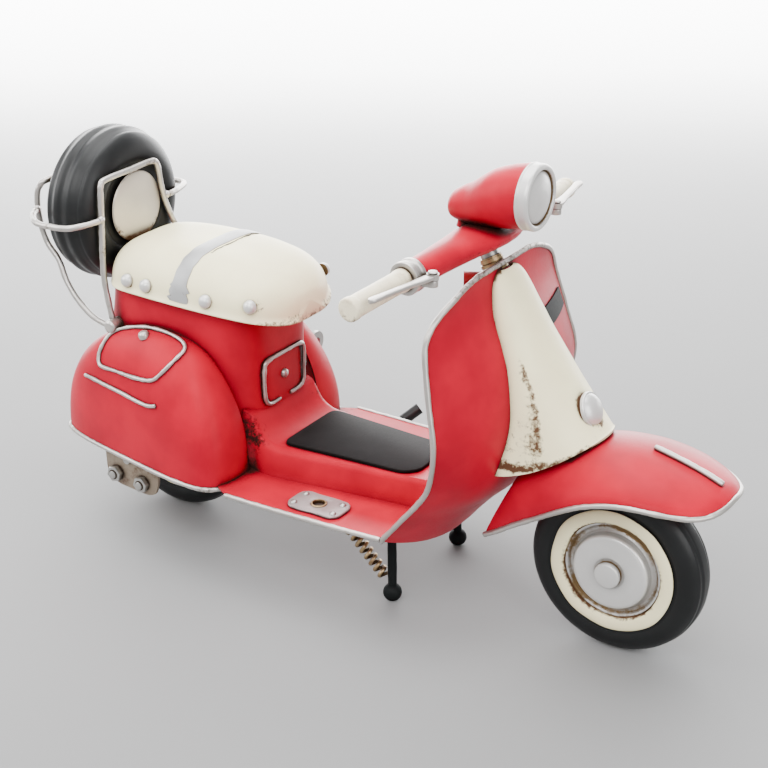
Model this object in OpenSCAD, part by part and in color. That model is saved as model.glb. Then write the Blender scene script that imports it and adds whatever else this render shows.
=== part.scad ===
// Tin wind-up scooter. +X points to the front wheel, +Y to the rider's left, +Z up.

/* [Sheet metal and wire] */
// Thickness of the pressed tin sheet
tin = 0.8; // [0.6:0.1:0.9]
// Radius of the silver edge beads
bead_r = 0.9; // [0.7:0.1:1]
// Radius of the rack wires
rack_wire_r = 1.1; // [0.9:0.1:1.2]
// Radius of the thin decoration wires
trim_wire_r = 0.7; // [0.5:0.1:0.8]

/* [Wheels] */
// Outer radius of the tyres
tyre_r = 30; // [29.5:0.25:30]
// Width of the road tyres
tyre_w = 13.6; // [13:0.2:14]
// Outer radius of the spare tyre
spare_r = 28.2; // [27.5:0.1:28.5]
// Width of the spare tyre
spare_w = 22; // [21:0.25:22]
// Radius of the rim that carries the tyre
rim_r = 17; // [16.5:0.25:17.5]
// Outer radius of the whitewall ring
whitewall_r = 21.3; // [20:0.1:22]
// Radius of the wheel axles
axle_r = 1.5; // [1.4:0.05:1.6]
// Radial running clearance of every bore
running_gap = 0.05; // [0.02:0.01:0.08]

/* [Places] */
// Front axle, forward of the middle of the floor
front_axle_x = 85; // [84:0.5:86]
// Rear axle, behind the middle of the floor
rear_axle_x = -98; // [-99:0.5:-97]
// Height of the floor board
floor_z = 35; // [34.5:0.25:35.5]
// Height of the raised tunnel in the floor
tunnel_z = 45; // [44.5:0.25:45]
// Height of the body under the seat
deck_z = 92; // [91.5:0.25:92]
// Shift that puts the middle of the whole length at the origin
length_shift = 11; // [10.5:0.25:11.5]

/* [Steering] */
// Angle of the steering axis back from the vertical
rake = 26.57; // [26:0.01:27]
// Radius of the steering stem
stem_r = 3; // [2.8:0.1:3.2]
// Half the width over the two grips
grip_end_y = 70; // [68:0.5:71]
// Radius of the grips
grip_r = 3.5; // [3.3:0.1:3.7]

/* [Motor] */
// Gear module
gear_module = 0.8; // [0.8:0.05:0.8]
// Teeth of the two small pinions
pinion_teeth = 10; // [10:1:10]
// Teeth of the idler wheel
idler_teeth = 30; // [30:1:30]
// Teeth of the great wheel
great_teeth = 36; // [36:1:36]

/* [Hidden] */

red = [0.78, 0.07, 0.08];
cream = [0.93, 0.89, 0.78];
silver = [0.75, 0.74, 0.72];
steel = [0.6, 0.6, 0.6];
black = [0.08, 0.08, 0.08];
brass = [0.75, 0.6, 0.3];

$fn = 48;

// ---- Curves ----

function unit(v) = v / max(norm(v), 1e-9);

// Point at t, from 0 to 1, on the smooth curve through the points p
function smooth(p, t) =
    let (n = len(p) - 1,
         s = min(max(t, 0), 1) * n,
         i = min(floor(s), n - 1),
         f = s - i,
         a = p[max(i - 1, 0)],
         b = p[i],
         c = p[i + 1],
         d = p[min(i + 2, n)])
    0.5 * (2 * b + (c - a) * f + (2 * a - 5 * b + 4 * c - d) * f * f
           + (3 * b - a - 3 * c + d) * f * f * f);

// The smooth curve through the points p, cut into steps pieces
function smooth_path(p, steps) = [for (i = [0:steps]) smooth(p, i / steps)];

// The same points on the other side of the middle plane
function mirrored(p) = [for (v = p) [v[0], -v[1], v[2]]];

function reversed(p) = [for (i = [len(p) - 1:-1:0]) p[i]];

// Signed power, for rounded corners
function spow(v, e) = sign(v) * pow(abs(v), e);

// ---- Solids from curves ----

// Two triangles between the points i, j and the next ring's k, l
function quad(i, j, k, l) = [[i, j, k], [i, k, l]];

// Normal of a grid of points at row i and column j
function grid_normal(g, i, j) =
    let (rows = len(g) - 1,
         cols = len(g[0]) - 1,
         along = g[min(i + 1, rows)][j] - g[max(i - 1, 0)][j],
         across = g[i][min(j + 1, cols)] - g[i][max(j - 1, 0)])
    unit(cross(along, across));

// Thin closed shell with the grid g as its outer face and thickness t inward
module sheet(g, t) {
    rows = len(g);
    cols = len(g[0]);
    n = rows * cols;
    inner = [for (i = [0:rows - 1], j = [0:cols - 1]) g[i][j] - t * grid_normal(g, i, j)];
    outer = [for (r = g) each r];
    faces = concat(
        [for (i = [0:rows - 2], j = [0:cols - 2])
            let (a = i * cols + j)
            each quad(a, a + 1, a + cols + 1, a + cols)],
        [for (i = [0:rows - 2], j = [0:cols - 2])
            let (a = n + i * cols + j)
            each quad(a, a + cols, a + cols + 1, a + 1)],
        [for (j = [0:cols - 2], row = [0, rows - 1])
            let (a = row * cols + j)
            each row == 0 ? quad(a, a + n, a + n + 1, a + 1) : quad(a, a + 1, a + n + 1, a + n)],
        [for (i = [0:rows - 2], col = [0, cols - 1])
            let (a = i * cols + col)
            each col == 0 ? quad(a, a + cols, a + n + cols, a + n)
                          : quad(a, a + n, a + n + cols, a + cols)]);
    polyhedron(concat(outer, inner), faces);
}

// Solid through rings of equal length, closed at both ends by a flat fan
module loft(rings) {
    m = len(rings[0]);
    k = len(rings);
    last = (k - 1) * m;
    faces = concat(
        [for (i = [0:k - 2], j = [0:m - 1])
            let (a = i * m + j, b = i * m + (j + 1) % m)
            each quad(a, a + m, b + m, b)],
        [[for (j = [0:m - 1]) j]],
        [[for (j = [m - 1:-1:0]) last + j]]);
    polyhedron([for (r = rings) each r], faces);
}

function tangent(p, i) = unit(p[min(i + 1, len(p) - 1)] - p[max(i - 1, 0)]);
function carried(n, t) = unit(n - t * (n * t));
function side_vectors(p, i, n) =
    i >= len(p) ? [] : let (m = carried(n, tangent(p, i))) concat([m], side_vectors(p, i + 1, m));

// Round wire of radius r along the points p
module wire(p, r, sides = 6) {
    t0 = tangent(p, 0);
    start = carried(abs(t0[2]) < 0.8 ? [0, 0, 1] : [1, 0, 0], t0);
    n = side_vectors(p, 0, start);
    loft([for (i = [0:len(p) - 1])
        let (t = tangent(p, i), b = cross(t, n[i]))
        [for (j = [0:sides - 1])
            let (a = 360 * (j + 0.5) / sides)
            p[i] + r * (cos(a) * n[i] + sin(a) * b)]]);
}

module placed() {
    translate([length_shift, 0, 0]) children();
}

// Drawn along the Y axis from y0 to y1
module rod_y(x, z, y0, y1, r) {
    translate([x, y0, z]) rotate([-90, 0, 0]) cylinder(h = y1 - y0, r = r);
}

module mirror_pair() {
    children();
    mirror([0, 1, 0]) children();
}

// ---- Leg shield ----

// Rows from the lip under the floor up to the top edge:
// middle x and z, edge x and z, half width
shield_rows = [
    [24, 24.5, 16, 33.6, 38.5],
    [27.2, 28, 18, 36.5, 39.8],
    [31.6, 33.4, 21.8, 41, 41.3],
    [38.4, 41, 26.6, 47, 42.7],
    [47, 50, 32.7, 54.5, 44.2],
    [51, 62, 38, 63, 46.2],
    [52.3, 77, 41, 77.5, 48.5],
    [48.3, 93, 37.7, 93, 46.4],
    [41.8, 107, 34.6, 106.8, 43.4],
    [39.4, 114.5, 34.8, 112.8, 40.4],
    [38.5, 118.8, 35.7, 116.4, 36.2],
    [38.1, 121.4, 36.7, 119.3, 30.4],
    [38, 122.8, 37.2, 121.8, 23.4],
    [37.9, 123.3, 37.5, 123.1, 16.5]];

// Point on the shield: s from 0 at the lip to 1 at the top, v from -1 at the right edge to 1
function shield_point(s, v) =
    let (r = smooth(shield_rows, s))
    [r[0] + (r[2] - r[0]) * v * v, r[4] * v, r[1] + (r[3] - r[1]) * v * v];

shield_steps = 18;
shield_cols = 12;
function shield_grid() = [for (i = [0:shield_steps])
    [for (j = [0:shield_cols]) shield_point(i / shield_steps, 1 - 2 * j / shield_cols)]];

module leg_shield() placed() color(red) difference() {
    sheet(shield_grid(), tin);
    head_axis() translate([0, 0, -60]) cylinder(h = 66, r = head_tube_r + 0.02);
}

module shield_bead() placed() color(silver) {
    right = [for (i = [0:24]) shield_point(i / 24, -1)];
    top = [for (j = [1:5]) shield_point(1, 2 * j / 6 - 1)];
    wire(concat(right, top, mirrored(reversed(right))), bead_r);
}

// ---- Head tube, on the steering axis ----

head_top = [34.8, 0, 119.6];
head_tube_r = 4.8;
head_tube_len = 47;

// Children are drawn along the steering axis, with the origin at the top of the head tube
module head_axis() {
    translate(head_top) rotate([0, -rake, 0]) children();
}

module head_tube() placed() color(red) {
    difference() {
        union() {
            head_axis() translate([0, 0, -head_tube_len]) cylinder(h = head_tube_len, r = head_tube_r);
            // Steering lock boss
            translate(head_top + [-2, 0, -4]) rotate([90, 0, -60]) cylinder(h = 8.5, r = 3.2);
        }
        head_axis() translate([0, 0, -head_tube_len - 1])
            cylinder(h = head_tube_len + 30, r = stem_r + running_gap);
    }
}

// ---- Floor ----

// Rows along x: x, half width of the board, tunnel foot y, tunnel top y, top z, foot z
floor_rows = [
    [-54, 37, 20.6, 18.8, 56, 35],
    [-50, 39, 21, 18.6, 54.4, 35],
    [-46.5, 40.6, 22, 18.4, 48.5, 35],
    [-42, 41.3, 22.6, 18.2, 45.6, 35],
    [-36, 41.5, 22.3, 17.9, 45, 35],
    [-20, 41.2, 20, 16.6, 45, 35],
    [-4, 40.6, 17.8, 15, 45, 35],
    [10, 39.3, 15.9, 13.2, 45, 35],
    [18, 36.6, 15.3, 12.5, 45.4, 35],
    [23.6, 29, 15, 12.2, 46.6, 35.2],
    [28.4, 21, 14.6, 11.8, 48.8, 36],
    [32.8, 15.4, 14, 11, 53, 39],
    [38.8, 13.6, 13, 10, 58.5, 44.5],
    [44.2, 12.4, 12, 9, 65, 53]];

// Half of the cross-section: share of the way from the top edge to the foot, share of the height
tunnel_profile = [[0, 1], [0.45, 0.86], [0.72, 0.5], [0.86, 0.2], [1, 0.02]];

function floor_section(r) =
    let (half = concat(
            [[r[0], 0, r[4]], [r[0], 0.6 * r[3], r[4]]],
            [for (q = tunnel_profile)
                [r[0], r[3] + (r[2] - r[3]) * q[0], r[5] + (r[4] - r[5]) * q[1]]],
            [[r[0], (r[2] + r[1]) / 2, r[5]], [r[0], r[1], r[5]]]))
    concat(reversed(mirrored(half)), [for (i = [1:len(half) - 1]) half[i]]);

floor_steps = 22;
function floor_grid() = [for (i = [0:floor_steps]) floor_section(smooth(floor_rows, i / floor_steps))];

module floor_pan() placed() color(red) sheet(floor_grid(), tin);

module floor_mat() placed() color(black)
    translate([0, 0, tunnel_z + 0.05]) linear_extrude(1.3)
        polygon([[-39.3, -14], [-37.6, -15.9], [8.5, -12.7], [12.5, -8.5], [12.5, 8.5], [8.5, 12.7],
                 [-37.6, 15.9], [-39.3, 14]]);

module floor_beads() placed() color(silver) mirror_pair()
    wire([for (i = [0:10]) [-46 + 6.2 * i, -41.7 + 0.025 * i * i, floor_z - 0.4]], bead_r);

// ---- Brake plate on the right of the floor ----

module brake_plate() placed() color([0.55, 0.48, 0.48])
    translate([plate_x, plate_y, floor_z]) difference() {
        linear_extrude(1) polygon(plate_outline);
        translate([0, 0, -1]) cylinder(h = 4, r = 2.2);
    }

plate_x = -13.5;
plate_y = -31.5;
plate_outline = [
    [-10.5, -3.5], [-8.5, -6.2], [-4, -6.6], [2, -6], [8, -6.4], [10.6, -4], [10.8, 3],
    [9, 5.8], [3, 6.3], [-3, 5.9], [-8, 6.2], [-10.3, 4]];
rivet_spots = [[-7.8, -3.6], [8, -3.4], [-7.6, 3.4], [7.6, 3.2]];

module rivet_head(r, h) {
    ball_r = (r * r + h * h) / (2 * h);
    intersection() {
        translate([0, 0, h - ball_r]) sphere(r = ball_r, $fn = 32);
        cylinder(h = h + 1, r = r + 1);
    }
}

// ---- Rear body under the seat ----

// Levels from the bottom up: z, front x, rear x, half width
body_levels = [
    [34, -49.5, -131, 21],
    [45, -49.5, -130, 21.4],
    [55, -49.5, -126.5, 21.6],
    [65, -49.7, -121.5, 21.8],
    [78, -50, -116.5, 22],
    [92, -50.5, -114, 22]];
body_steps = 9;
body_sides = 36;

function body_ring(level, inset) =
    let (l = smooth(body_levels, level),
         mid = (l[1] + l[2]) / 2,
         half_len = (l[1] - l[2]) / 2 - inset,
         half_w = l[3] - inset)
    [for (j = [0:body_sides - 1])
        let (a = 360 * j / body_sides)
        [mid + half_len * spow(cos(a), 0.45), half_w * spow(sin(a), 0.45), l[0]]];

module rear_body() placed() color(red) difference() {
    loft([for (i = [0:body_steps]) body_ring(i / body_steps, 0)]);
    intersection() {
        loft(concat([[for (p = body_ring(0, tin)) p - [0, 0, 1]]],
                    [for (i = [0:body_steps]) body_ring(i / body_steps, tin)]));
        translate([-200, -50, 0]) cube([200, 100, deck_z - tin]);
    }
    // Wheel arch behind the cowls
    rod_y(-90, 34, -40, 40, 31);
}

// ---- Cowls ----

// Bottom edge in plan, from the rear round the side to the front
cowl_foot = [
    [-131, -22.4], [-131.4, -24.5], [-129.2, -27.3], [-121.5, -30.8], [-109, -34], [-91.5, -37.4],
    [-75.3, -40.4], [-64.5, -41.6], [-56.8, -41.4], [-51.6, -38.4], [-49.4, -32], [-49.3, -22.4]];
// Line where the cowl meets the rear body: x and z
cowl_top = [
    [-131.2, 34.5], [-130.5, 46], [-127, 57], [-120, 67.5], [-109, 75.5], [-92, 80.5],
    [-76, 80], [-66, 76], [-58.5, 67.5], [-53, 57], [-50.6, 47], [-49.4, 34.5]];
cowl_inner_y = -22.4;
cowl_foot_z = 34;

function cowl_point(u, v) =
    let (f = smooth(cowl_foot, u),
         t = smooth(cowl_top, u),
         inward = 1 - pow(cos(90 * v), 0.9),
         up = pow(sin(90 * v), 0.95))
    [f[0] + (t[0] - f[0]) * inward, f[1] + (cowl_inner_y - f[1]) * inward,
     cowl_foot_z + (t[1] - cowl_foot_z) * up];

cowl_cols = 22;
cowl_rows = 8;
function cowl_grid() = [for (i = [0:cowl_rows])
    [for (j = [cowl_cols:-1:0]) cowl_point((j + 0.15) / (cowl_cols + 0.3), i / cowl_rows)]];

module cowl_shell() sheet(cowl_grid(), tin);

module cowl_right() placed() color(red) cowl_shell();

module cowl_left() placed() color(red) difference() {
    mirror([0, 1, 0]) cowl_shell();
    rod_y(key_x, key_z, 30, 60, 2.4);
}

module cowl_beads() placed() color(silver) mirror_pair()
    wire([for (i = [1:26]) let (p = cowl_point(i / 27, 0)) [p[0], p[1], p[2] - 0.3]], bead_r);

// Outline on the cowl, as shares along and up it
door_spots = [
    [0.371, 0.81], [0.385, 0.9], [0.417, 0.94], [0.469, 0.95], [0.522, 0.94], [0.562, 0.9],
    [0.576, 0.82], [0.559, 0.678], [0.531, 0.542], [0.508, 0.478], [0.464, 0.456],
    [0.414, 0.473], [0.368, 0.51], [0.357, 0.6], [0.362, 0.7], [0.371, 0.81]];
strip_spots = [
    [0.308, 0.447], [0.352, 0.402], [0.396, 0.366], [0.43, 0.345], [0.469, 0.327], [0.505, 0.325],
    [0.53, 0.345]];

function outward(p, d) = let (c = [-85, -18, 45]) p + d * unit(p - c);

module cowl_wires() placed() color(silver) mirror_pair() {
    wire([for (p = smooth_path(door_spots, 28)) outward(cowl_point(p[0], p[1]), 0.5)], trim_wire_r);
    wire([for (p = smooth_path(strip_spots, 8)) outward(cowl_point(p[0], p[1]), 0.5)], trim_wire_r);
}

module latch_knobs() placed() color(silver) {
    mirror_pair() {
        at = cowl_point(0.462, 0.824);
        translate(outward(at, -0.4)) rotate([50, 0, -10]) cylinder(h = 1.6, r = 2);
    }
    translate([-50.2, 0, 64.2]) rotate([0, 90, 0]) cylinder(h = 2, r = 1.7);
}

hatch_outline = [
    [3, 55.5], [9, 55.8], [11.6, 58], [12, 64], [12, 70], [10, 72.3], [0, 72.6], [-10, 72.3],
    [-12, 69.5], [-12.3, 63.6], [-11.6, 58], [-9, 55.6], [-3, 55.5]];

module hatch_wire() placed() color(silver)
    wire([for (p = smooth_path(hatch_outline, 30)) [-49.3, p[0], p[1]]], trim_wire_r);

// ---- Seat ----

// Stations along the seat: x, half width of the lip, lip z, crown z
seat_rows = [
    [-112.6, 12, 93.2, 99.5],
    [-111.8, 17, 92.8, 103.2],
    [-109, 21, 92.3, 106.3],
    [-104, 23.8, 92, 108.3],
    [-93, 25, 92, 109.6],
    [-79, 25.8, 92, 109.8],
    [-65, 26.2, 92, 108.8],
    [-54, 25.2, 91.6, 106.8],
    [-46.5, 22, 90.5, 104.2],
    [-42, 17.4, 89.4, 101.4],
    [-39, 12, 88.6, 98],
    [-37.8, 7, 88.4, 94.5]];

function seat_ring(r) =
    let (n = 24)
    [for (j = [0:n - 1])
        let (a = 360 * (j + 0.5) / n,
             lower = sin(a) < 0,
             w = r[1] * (lower ? 1 : 0.92 + 0.08 * (1 - sin(a))))
        [r[0], w * spow(cos(a), lower ? 0.3 : 0.55),
         r[2] + 2.5 + (lower ? 2.5 : r[3] - r[2] - 2.5) * spow(sin(a), lower ? 0.4 : 0.8)]];

module seat() placed() color(cream) difference() {
    loft([for (i = [0:20]) seat_ring(smooth(seat_rows, i / 20))]);
    loft([for (i = [0:16]) let (r = smooth(seat_rows, 0.03 + 0.94 * i / 16))
        seat_ring([r[0], r[1] - 1.1, r[2] - 3, r[3] - 1.2])]);
}

seat_strap_x = -75;

module seat_strap() placed() color(silver) {
    r = [seat_strap_x, 26, 92, 109.6];
    ring = [for (p = seat_ring(r)) if (p[2] > 93) p];
    over = [for (p = ring) [p[1], p[2]]];
    translate([seat_strap_x + 2.5, 0, 0]) rotate([90, 0, -90]) mirror([1, 0, 0])
        linear_extrude(5) difference() {
            offset(delta = 0.8) polygon(over);
            offset(delta = 0.05) polygon(over);
            translate([-60, 60]) square([120, 34]);
        }
}

seat_rivet_x = [-99, -90, -63, -47];

module rivets() placed() color(silver) {
    for (p = rivet_spots)
        translate([plate_x + p[0], plate_y + p[1], floor_z + 1]) rivet_head(1.2, 0.7);
    for (x = seat_rivet_x) {
        t = lookup(x, [for (i = [0:40]) let (s = smooth(seat_rows, i / 40)) [s[0], s[1]]]);
        mirror_pair() translate([x, -t + 1.4, 97.2]) rotate([90, 0, 0]) cylinder(h = 1.5, r = 2.4);
    }
}

// ---- Spare wheel and rack ----

spare_x = -125.2;
spare_z = 115.5;

module along_x(x, z) {
    translate([x, 0, z]) rotate([0, 90, 0]) children();
}

// Tyre around the Z axis: crowned tread with two grooves
module tyre(r, w, bore) rotate_extrude($fn = 64) difference() {
    hull() for (side = [-1, 1]) {
        translate([r - 0.4 * w, side * 0.1 * w]) circle(r = 0.4 * w);
        translate([bore, side * (0.5 * w - 0.5) - 0.5]) square([1, 1]);
    }
    for (y = [-0.16, 0.16]) translate([r - 0.2, y * w]) circle(r = 0.7, $fn = 24);
}

module spare_tyre() placed() color(black) along_x(spare_x, spare_z) tyre(spare_r, spare_w, 11.5);

module spare_disc() placed() color(cream) along_x(spare_x, spare_z) {
    translate([0, 0, spare_w / 2]) cylinder(h = 0.9, r = 13);
    difference() {
        translate([0, 0, -spare_w / 2 + 0.5]) cylinder(h = spare_w - 0.5, r = 11.5);
        translate([0, 0, -spare_w / 2 + 1.4]) cylinder(h = spare_w, r = 10.6);
    }
}

bail_x = -112.4;
bail_near_y = -20.8;
bail_far_y = 11;

module rack_bail() placed() color(silver) {
    path = [
        [-108.4, -22.8, 78.4], [-109.6, -22.8, 84], [-111.4, -22.6, 94],
        [bail_x, -21.6, 103], [bail_x, bail_near_y - 0.4, 110],
        [bail_x, bail_near_y, 117], [bail_x, bail_near_y + 0.4, 124],
        [bail_x, bail_near_y + 1, 128.4], [bail_x, bail_near_y + 3.5, 130],
        [bail_x, -4, 130.4], [bail_x, bail_far_y - 3, 130.6], [bail_x, bail_far_y, 128],
        [bail_x, bail_far_y + 1.5, 120], [bail_x, bail_far_y + 4, 112],
        [bail_x, bail_far_y + 8.5, 103], [-111.4, 22.6, 94],
        [-109.6, 22.8, 84], [-108.4, 22.8, 78.4]];
    wire(smooth_path(path, 48), rack_wire_r, 8);
}

hoop_side = [
    [-108, -25, 78], [-116, -25, 80], [-123.5, -24.4, 85], [-129, -23.6, 91], [-133, -22.6, 98],
    [-138.2, -22.2, 103.5], [-141, -22, 111], [-141.6, -22, 118.5], [-140.5, -21.4, 124],
    [-138, -17, 126.6]];

module rack_hoop() placed() color(silver)
    wire(smooth_path(concat(hoop_side, mirrored(reversed(hoop_side))), 56), rack_wire_r, 8);

arm_side = [
    [-111.6, -22.6, 116.4], [-114, -28, 115.8], [-118, -32.3, 115.2], [-125, -33.6, 115],
    [-132, -33, 115], [-137.5, -29, 115.4], [-141, -23.6, 115.8]];

module rack_arms() placed() color(silver) {
    wire(smooth_path(arm_side, 16), rack_wire_r, 8);
    wire(smooth_path(concat([[-111.6, bail_far_y + 4.4, 116.4], [-113, 22, 116]],
                            mirrored([for (i = [2:6]) arm_side[i]])), 16), rack_wire_r, 8);
}

module rack_nuts() placed() color(silver) mirror_pair()
    translate([-107.8, -26.4, 78]) rotate([-90, 0, 0]) cylinder(h = 6.4, r = 2.4);

// ---- Horn cover ----

// Levels from the top down: z, side x, nose x, half width
cover_levels = [
    [121.6, 0, 39.6, 4],
    [120.7, 0, 41.2, 6.8],
    [117.5, 0, 43.9, 9.2],
    [110, 0, 48.7, 11.3],
    [100, 0, 55, 12.9],
    [90, 0, 62, 14.9],
    [81, 0, 68.4, 17.2],
    [72, 0, 74, 19.4],
    [66, 0, 77, 20.6]];
// Height of the lower edge at the sides and at the nose
cover_low = [58.7, 73];

// Front face of the shield at height z, at the distance y from the middle
function shield_x(y, z) =
    let (s = lookup(z, [for (i = [0:13]) [shield_rows[i][1], i / 13]]),
         r = smooth(shield_rows, s))
    shield_point(s, y / r[4])[0];

function cover_point(v, a) =
    let (l = smooth(cover_levels, v),
         low = cover_low[0] + (cover_low[1] - cover_low[0]) * pow(cos(a), 1),
         drop = pow(max(v - 0.7, 0) / 0.3, 1.3),
         z = l[0] + (low - 66) * drop,
         y = l[3] * spow(sin(a), 1),
         side = shield_x(l[3], z) + 0.15)
    [side + (l[2] - side) * pow(cos(a), 0.75), y, z];

function cover_grid() = [for (i = [0:12]) [for (j = [0:16]) cover_point(i / 12, -90 + 11.25 * j)]];

module horn_cover() placed() color(cream) sheet(cover_grid(), tin);

module horn_badge() placed() color(silver)
    translate([70.4, 0, 79.6]) rotate([0, 66, 0]) rivet_head(5.4, 2.6);

module name_plate() placed() color(black)
    sheet([for (i = [0:2]) [for (j = [0:4])
        shield_point(0.556 + 0.014 * i, 0.9 - 0.15 * j) + 0.6 * [0.92, 0.2, 0.35]]], 0.5);

// ---- Fork, fender and front wheel ----

front_wheel_y = -3.2;
fork_y = 5;

module fork() placed() color(steel) {
    head_axis() {
        translate([0, 0, -64]) cylinder(h = 78, r = stem_r);
        translate([0, 0, -49.5]) cylinder(h = 2, r = 4.6);
    }
    difference() {
        union() {
            // Crown over the tyre and down to the left arm
            translate([58, -4, 62.6]) cube([8, fork_y + 6.5, 2.5]);
            translate([58, fork_y, 29]) cube([8, 2.5, 36]);
            translate([58, fork_y, 26.5]) cube([front_axle_x - 58, 2.5, 7]);
            rod_y(front_axle_x, tyre_r, fork_y, fork_y + 2.5, 4.5);
        }
        rod_y(front_axle_x, tyre_r, fork_y - 1, fork_y + 4, axle_r);
    }
}

module front_axle() placed() color(silver) {
    rod_y(front_axle_x, tyre_r, -12.2, fork_y + 3.6, axle_r);
    rod_y(front_axle_x, tyre_r, -14, -11.65, 4.3);
    rod_y(front_axle_x, tyre_r, fork_y + 2.5, fork_y + 4.5, 3);
}

module head_rings() placed() color(brass) head_axis() difference() {
    union() {
        for (i = [0:2]) translate([0, 0, 0.3 + i * 1.5]) cylinder(h = 1.1, r = 4.4 - 0.3 * i);
        translate([0, 0, 0.3]) cylinder(h = 4.6, r = 3.6);
    }
    translate([0, 0, -1]) cylinder(h = 10, r = stem_r + running_gap);
}

// Stations along the fender: x of the lower edge, x of the crown, half width, edge z, crown z
fender_rows = [
    [44, 55, 20, 36, 64.4],
    [49, 58, 21.6, 39.3, 66.8],
    [56, 62, 22.6, 44.3, 68.6],
    [64.6, 67.5, 23.2, 49.7, 70],
    [73, 74, 23.5, 54.8, 70.9],
    [80, 80, 23.6, 58.3, 71.4],
    [88, 88, 23.6, 60.8, 71.1],
    [95.3, 95.3, 23, 61.7, 69.9],
    [103, 103, 21.5, 61.4, 68.3],
    [109, 109, 19.1, 60.7, 66.8],
    [113, 113, 16.6, 60.3, 65.6],
    [116.3, 116.3, 13.2, 60.3, 64.4],
    [118.7, 118.7, 8.6, 60.9, 63],
    [119.8, 119.8, 3.6, 61.5, 62.2]];

function fender_point(s, a) =
    let (r = smooth(fender_rows, s), c = pow(max(cos(a), 0), 1.05))
    [r[0] + (r[1] - r[0]) * c, r[2] * sin(a), r[3] + (r[4] - r[3]) * c];

function fender_grid() = [for (i = [0:20]) [for (j = [0:16]) fender_point(i / 20, -90 + 11.25 * j)]];

module fender() placed() color(red) difference() {
    sheet(fender_grid(), tin);
    head_axis() translate([0, 0, -60]) cylinder(h = 20, r = stem_r + 0.05);
}

module fender_bead() placed() color(silver) {
    right = [for (i = [0:24]) fender_point(i / 24, -90)];
    wire(concat(right, [[120.1, 0, 62]], mirrored(reversed(right))), bead_r);
}

module fender_crest() placed() color(silver)
    wire([for (i = [0:8]) let (p = fender_point(0.5 + 0.33 * i / 8, 6 - 4 * i / 8)) p + [0, 0, 0.6]], 1);

// Pressed rim around the Z axis, for one half of the wheel
rim_profile = [
    [rim_r, 0], [rim_r, 5.4], [rim_r - 1, 5.9], [15, 4.6], [14.4, 4.6], [14, 5.6], [13, 6.2],
    [axle_r + running_gap, 6.2], [axle_r + running_gap, 0], [3, 0], [3, 5.2], [12.7, 5.2],
    [13.3, 4.6], [13.8, 3.6], [15.2, 3.6], [rim_r - 1, 4.4], [rim_r - 1, 0]];
// Raised disc on the outer side
hub_profile = [
    [13, 6.1], [12.8, 7.3], [11.4, 8.3], [axle_r + running_gap, 8.3], [axle_r + running_gap, 7.4],
    [11, 7.4], [11.9, 6.8], [12, 6.1]];

module rim() {
    rotate_extrude($fn = 64) polygon(rim_profile);
    mirror([0, 0, 1]) rotate_extrude($fn = 64) polygon(rim_profile);
    mirror([0, 0, 1]) rotate_extrude($fn = 64) polygon(hub_profile);
}

module whitewalls() for (side = [-1, 1])
    translate([0, 0, side * (tyre_w / 2 - 0.05)]) difference() {
        cylinder(h = 0.9, r = whitewall_r, center = true, $fn = 64);
        cylinder(h = 2, r = rim_r, center = true, $fn = 64);
    }

module wheel_place(x, y = 0) {
    translate([x, y, tyre_r]) rotate([-90, 0, 0]) children();
}

module wheel_tyre() difference() {
    tyre(tyre_r, tyre_w, rim_r);
    for (side = [-1, 1]) translate([0, 0, side * tyre_w / 2])
        cylinder(h = 1, r = whitewall_r, center = true, $fn = 64);
}

module front_tyre() placed() color(black) wheel_place(front_axle_x, front_wheel_y) wheel_tyre();
module front_whitewalls() placed() color(cream) wheel_place(front_axle_x, front_wheel_y) whitewalls();
module front_rim() placed() color(silver) wheel_place(front_axle_x, front_wheel_y) rim();
module rear_tyre() placed() color(black) wheel_place(rear_axle_x) wheel_tyre();
module rear_whitewalls() placed() color(cream) wheel_place(rear_axle_x) whitewalls();
module rear_rim() placed() color(silver) wheel_place(rear_axle_x) rim();

// ---- Handlebar and headlight ----

// Stations from the middle outwards: y, middle x, middle z, half depth, half height
casing_rows = [
    [0, 31.2, 131.2, 8.6, 3.7],
    [7, 30.8, 131.2, 8.4, 3.8],
    [14, 30, 130.8, 7.2, 4],
    [24, 28.8, 130, 5.7, 4.3],
    [38.5, 27.5, 129, 4.4, 4.4]];

function casing_ring(r, y) = [for (j = [0:15])
    let (a = 360 * j / 16)
    [r[1] + r[3] * spow(cos(a), 1.15), y, r[2] + r[4] * spow(sin(a), 0.85)]];

module handlebar_casing() placed() color(red) difference() {
    loft(concat([for (i = [10:-1:1]) let (r = smooth(casing_rows, i / 10)) casing_ring(r, r[0])],
                [for (i = [0:10]) let (r = smooth(casing_rows, i / 10)) casing_ring(r, -r[0])]));
    head_axis() translate([0, 0, 5]) cylinder(h = 9, r = stem_r);
}

bar_inner = [27.5, 38.5, 129];
bar_outer = [24.6, grip_end_y, 127];

// Children are drawn along the right bar, outwards from the end of the casing
module bar_axis() {
    d = [bar_outer[0] - bar_inner[0], -(bar_outer[1] - bar_inner[1]), bar_outer[2] - bar_inner[2]];
    translate([bar_inner[0], -bar_inner[1], bar_inner[2]])
        rotate([0, acos(d[2] / norm(d)), atan2(d[1], d[0])]) children();
}

bar_len = norm(bar_outer - bar_inner);
lever_base = [35.4, -40.6, 130.4];
lever_tip = [30.6, -68, 130.4];

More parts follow.
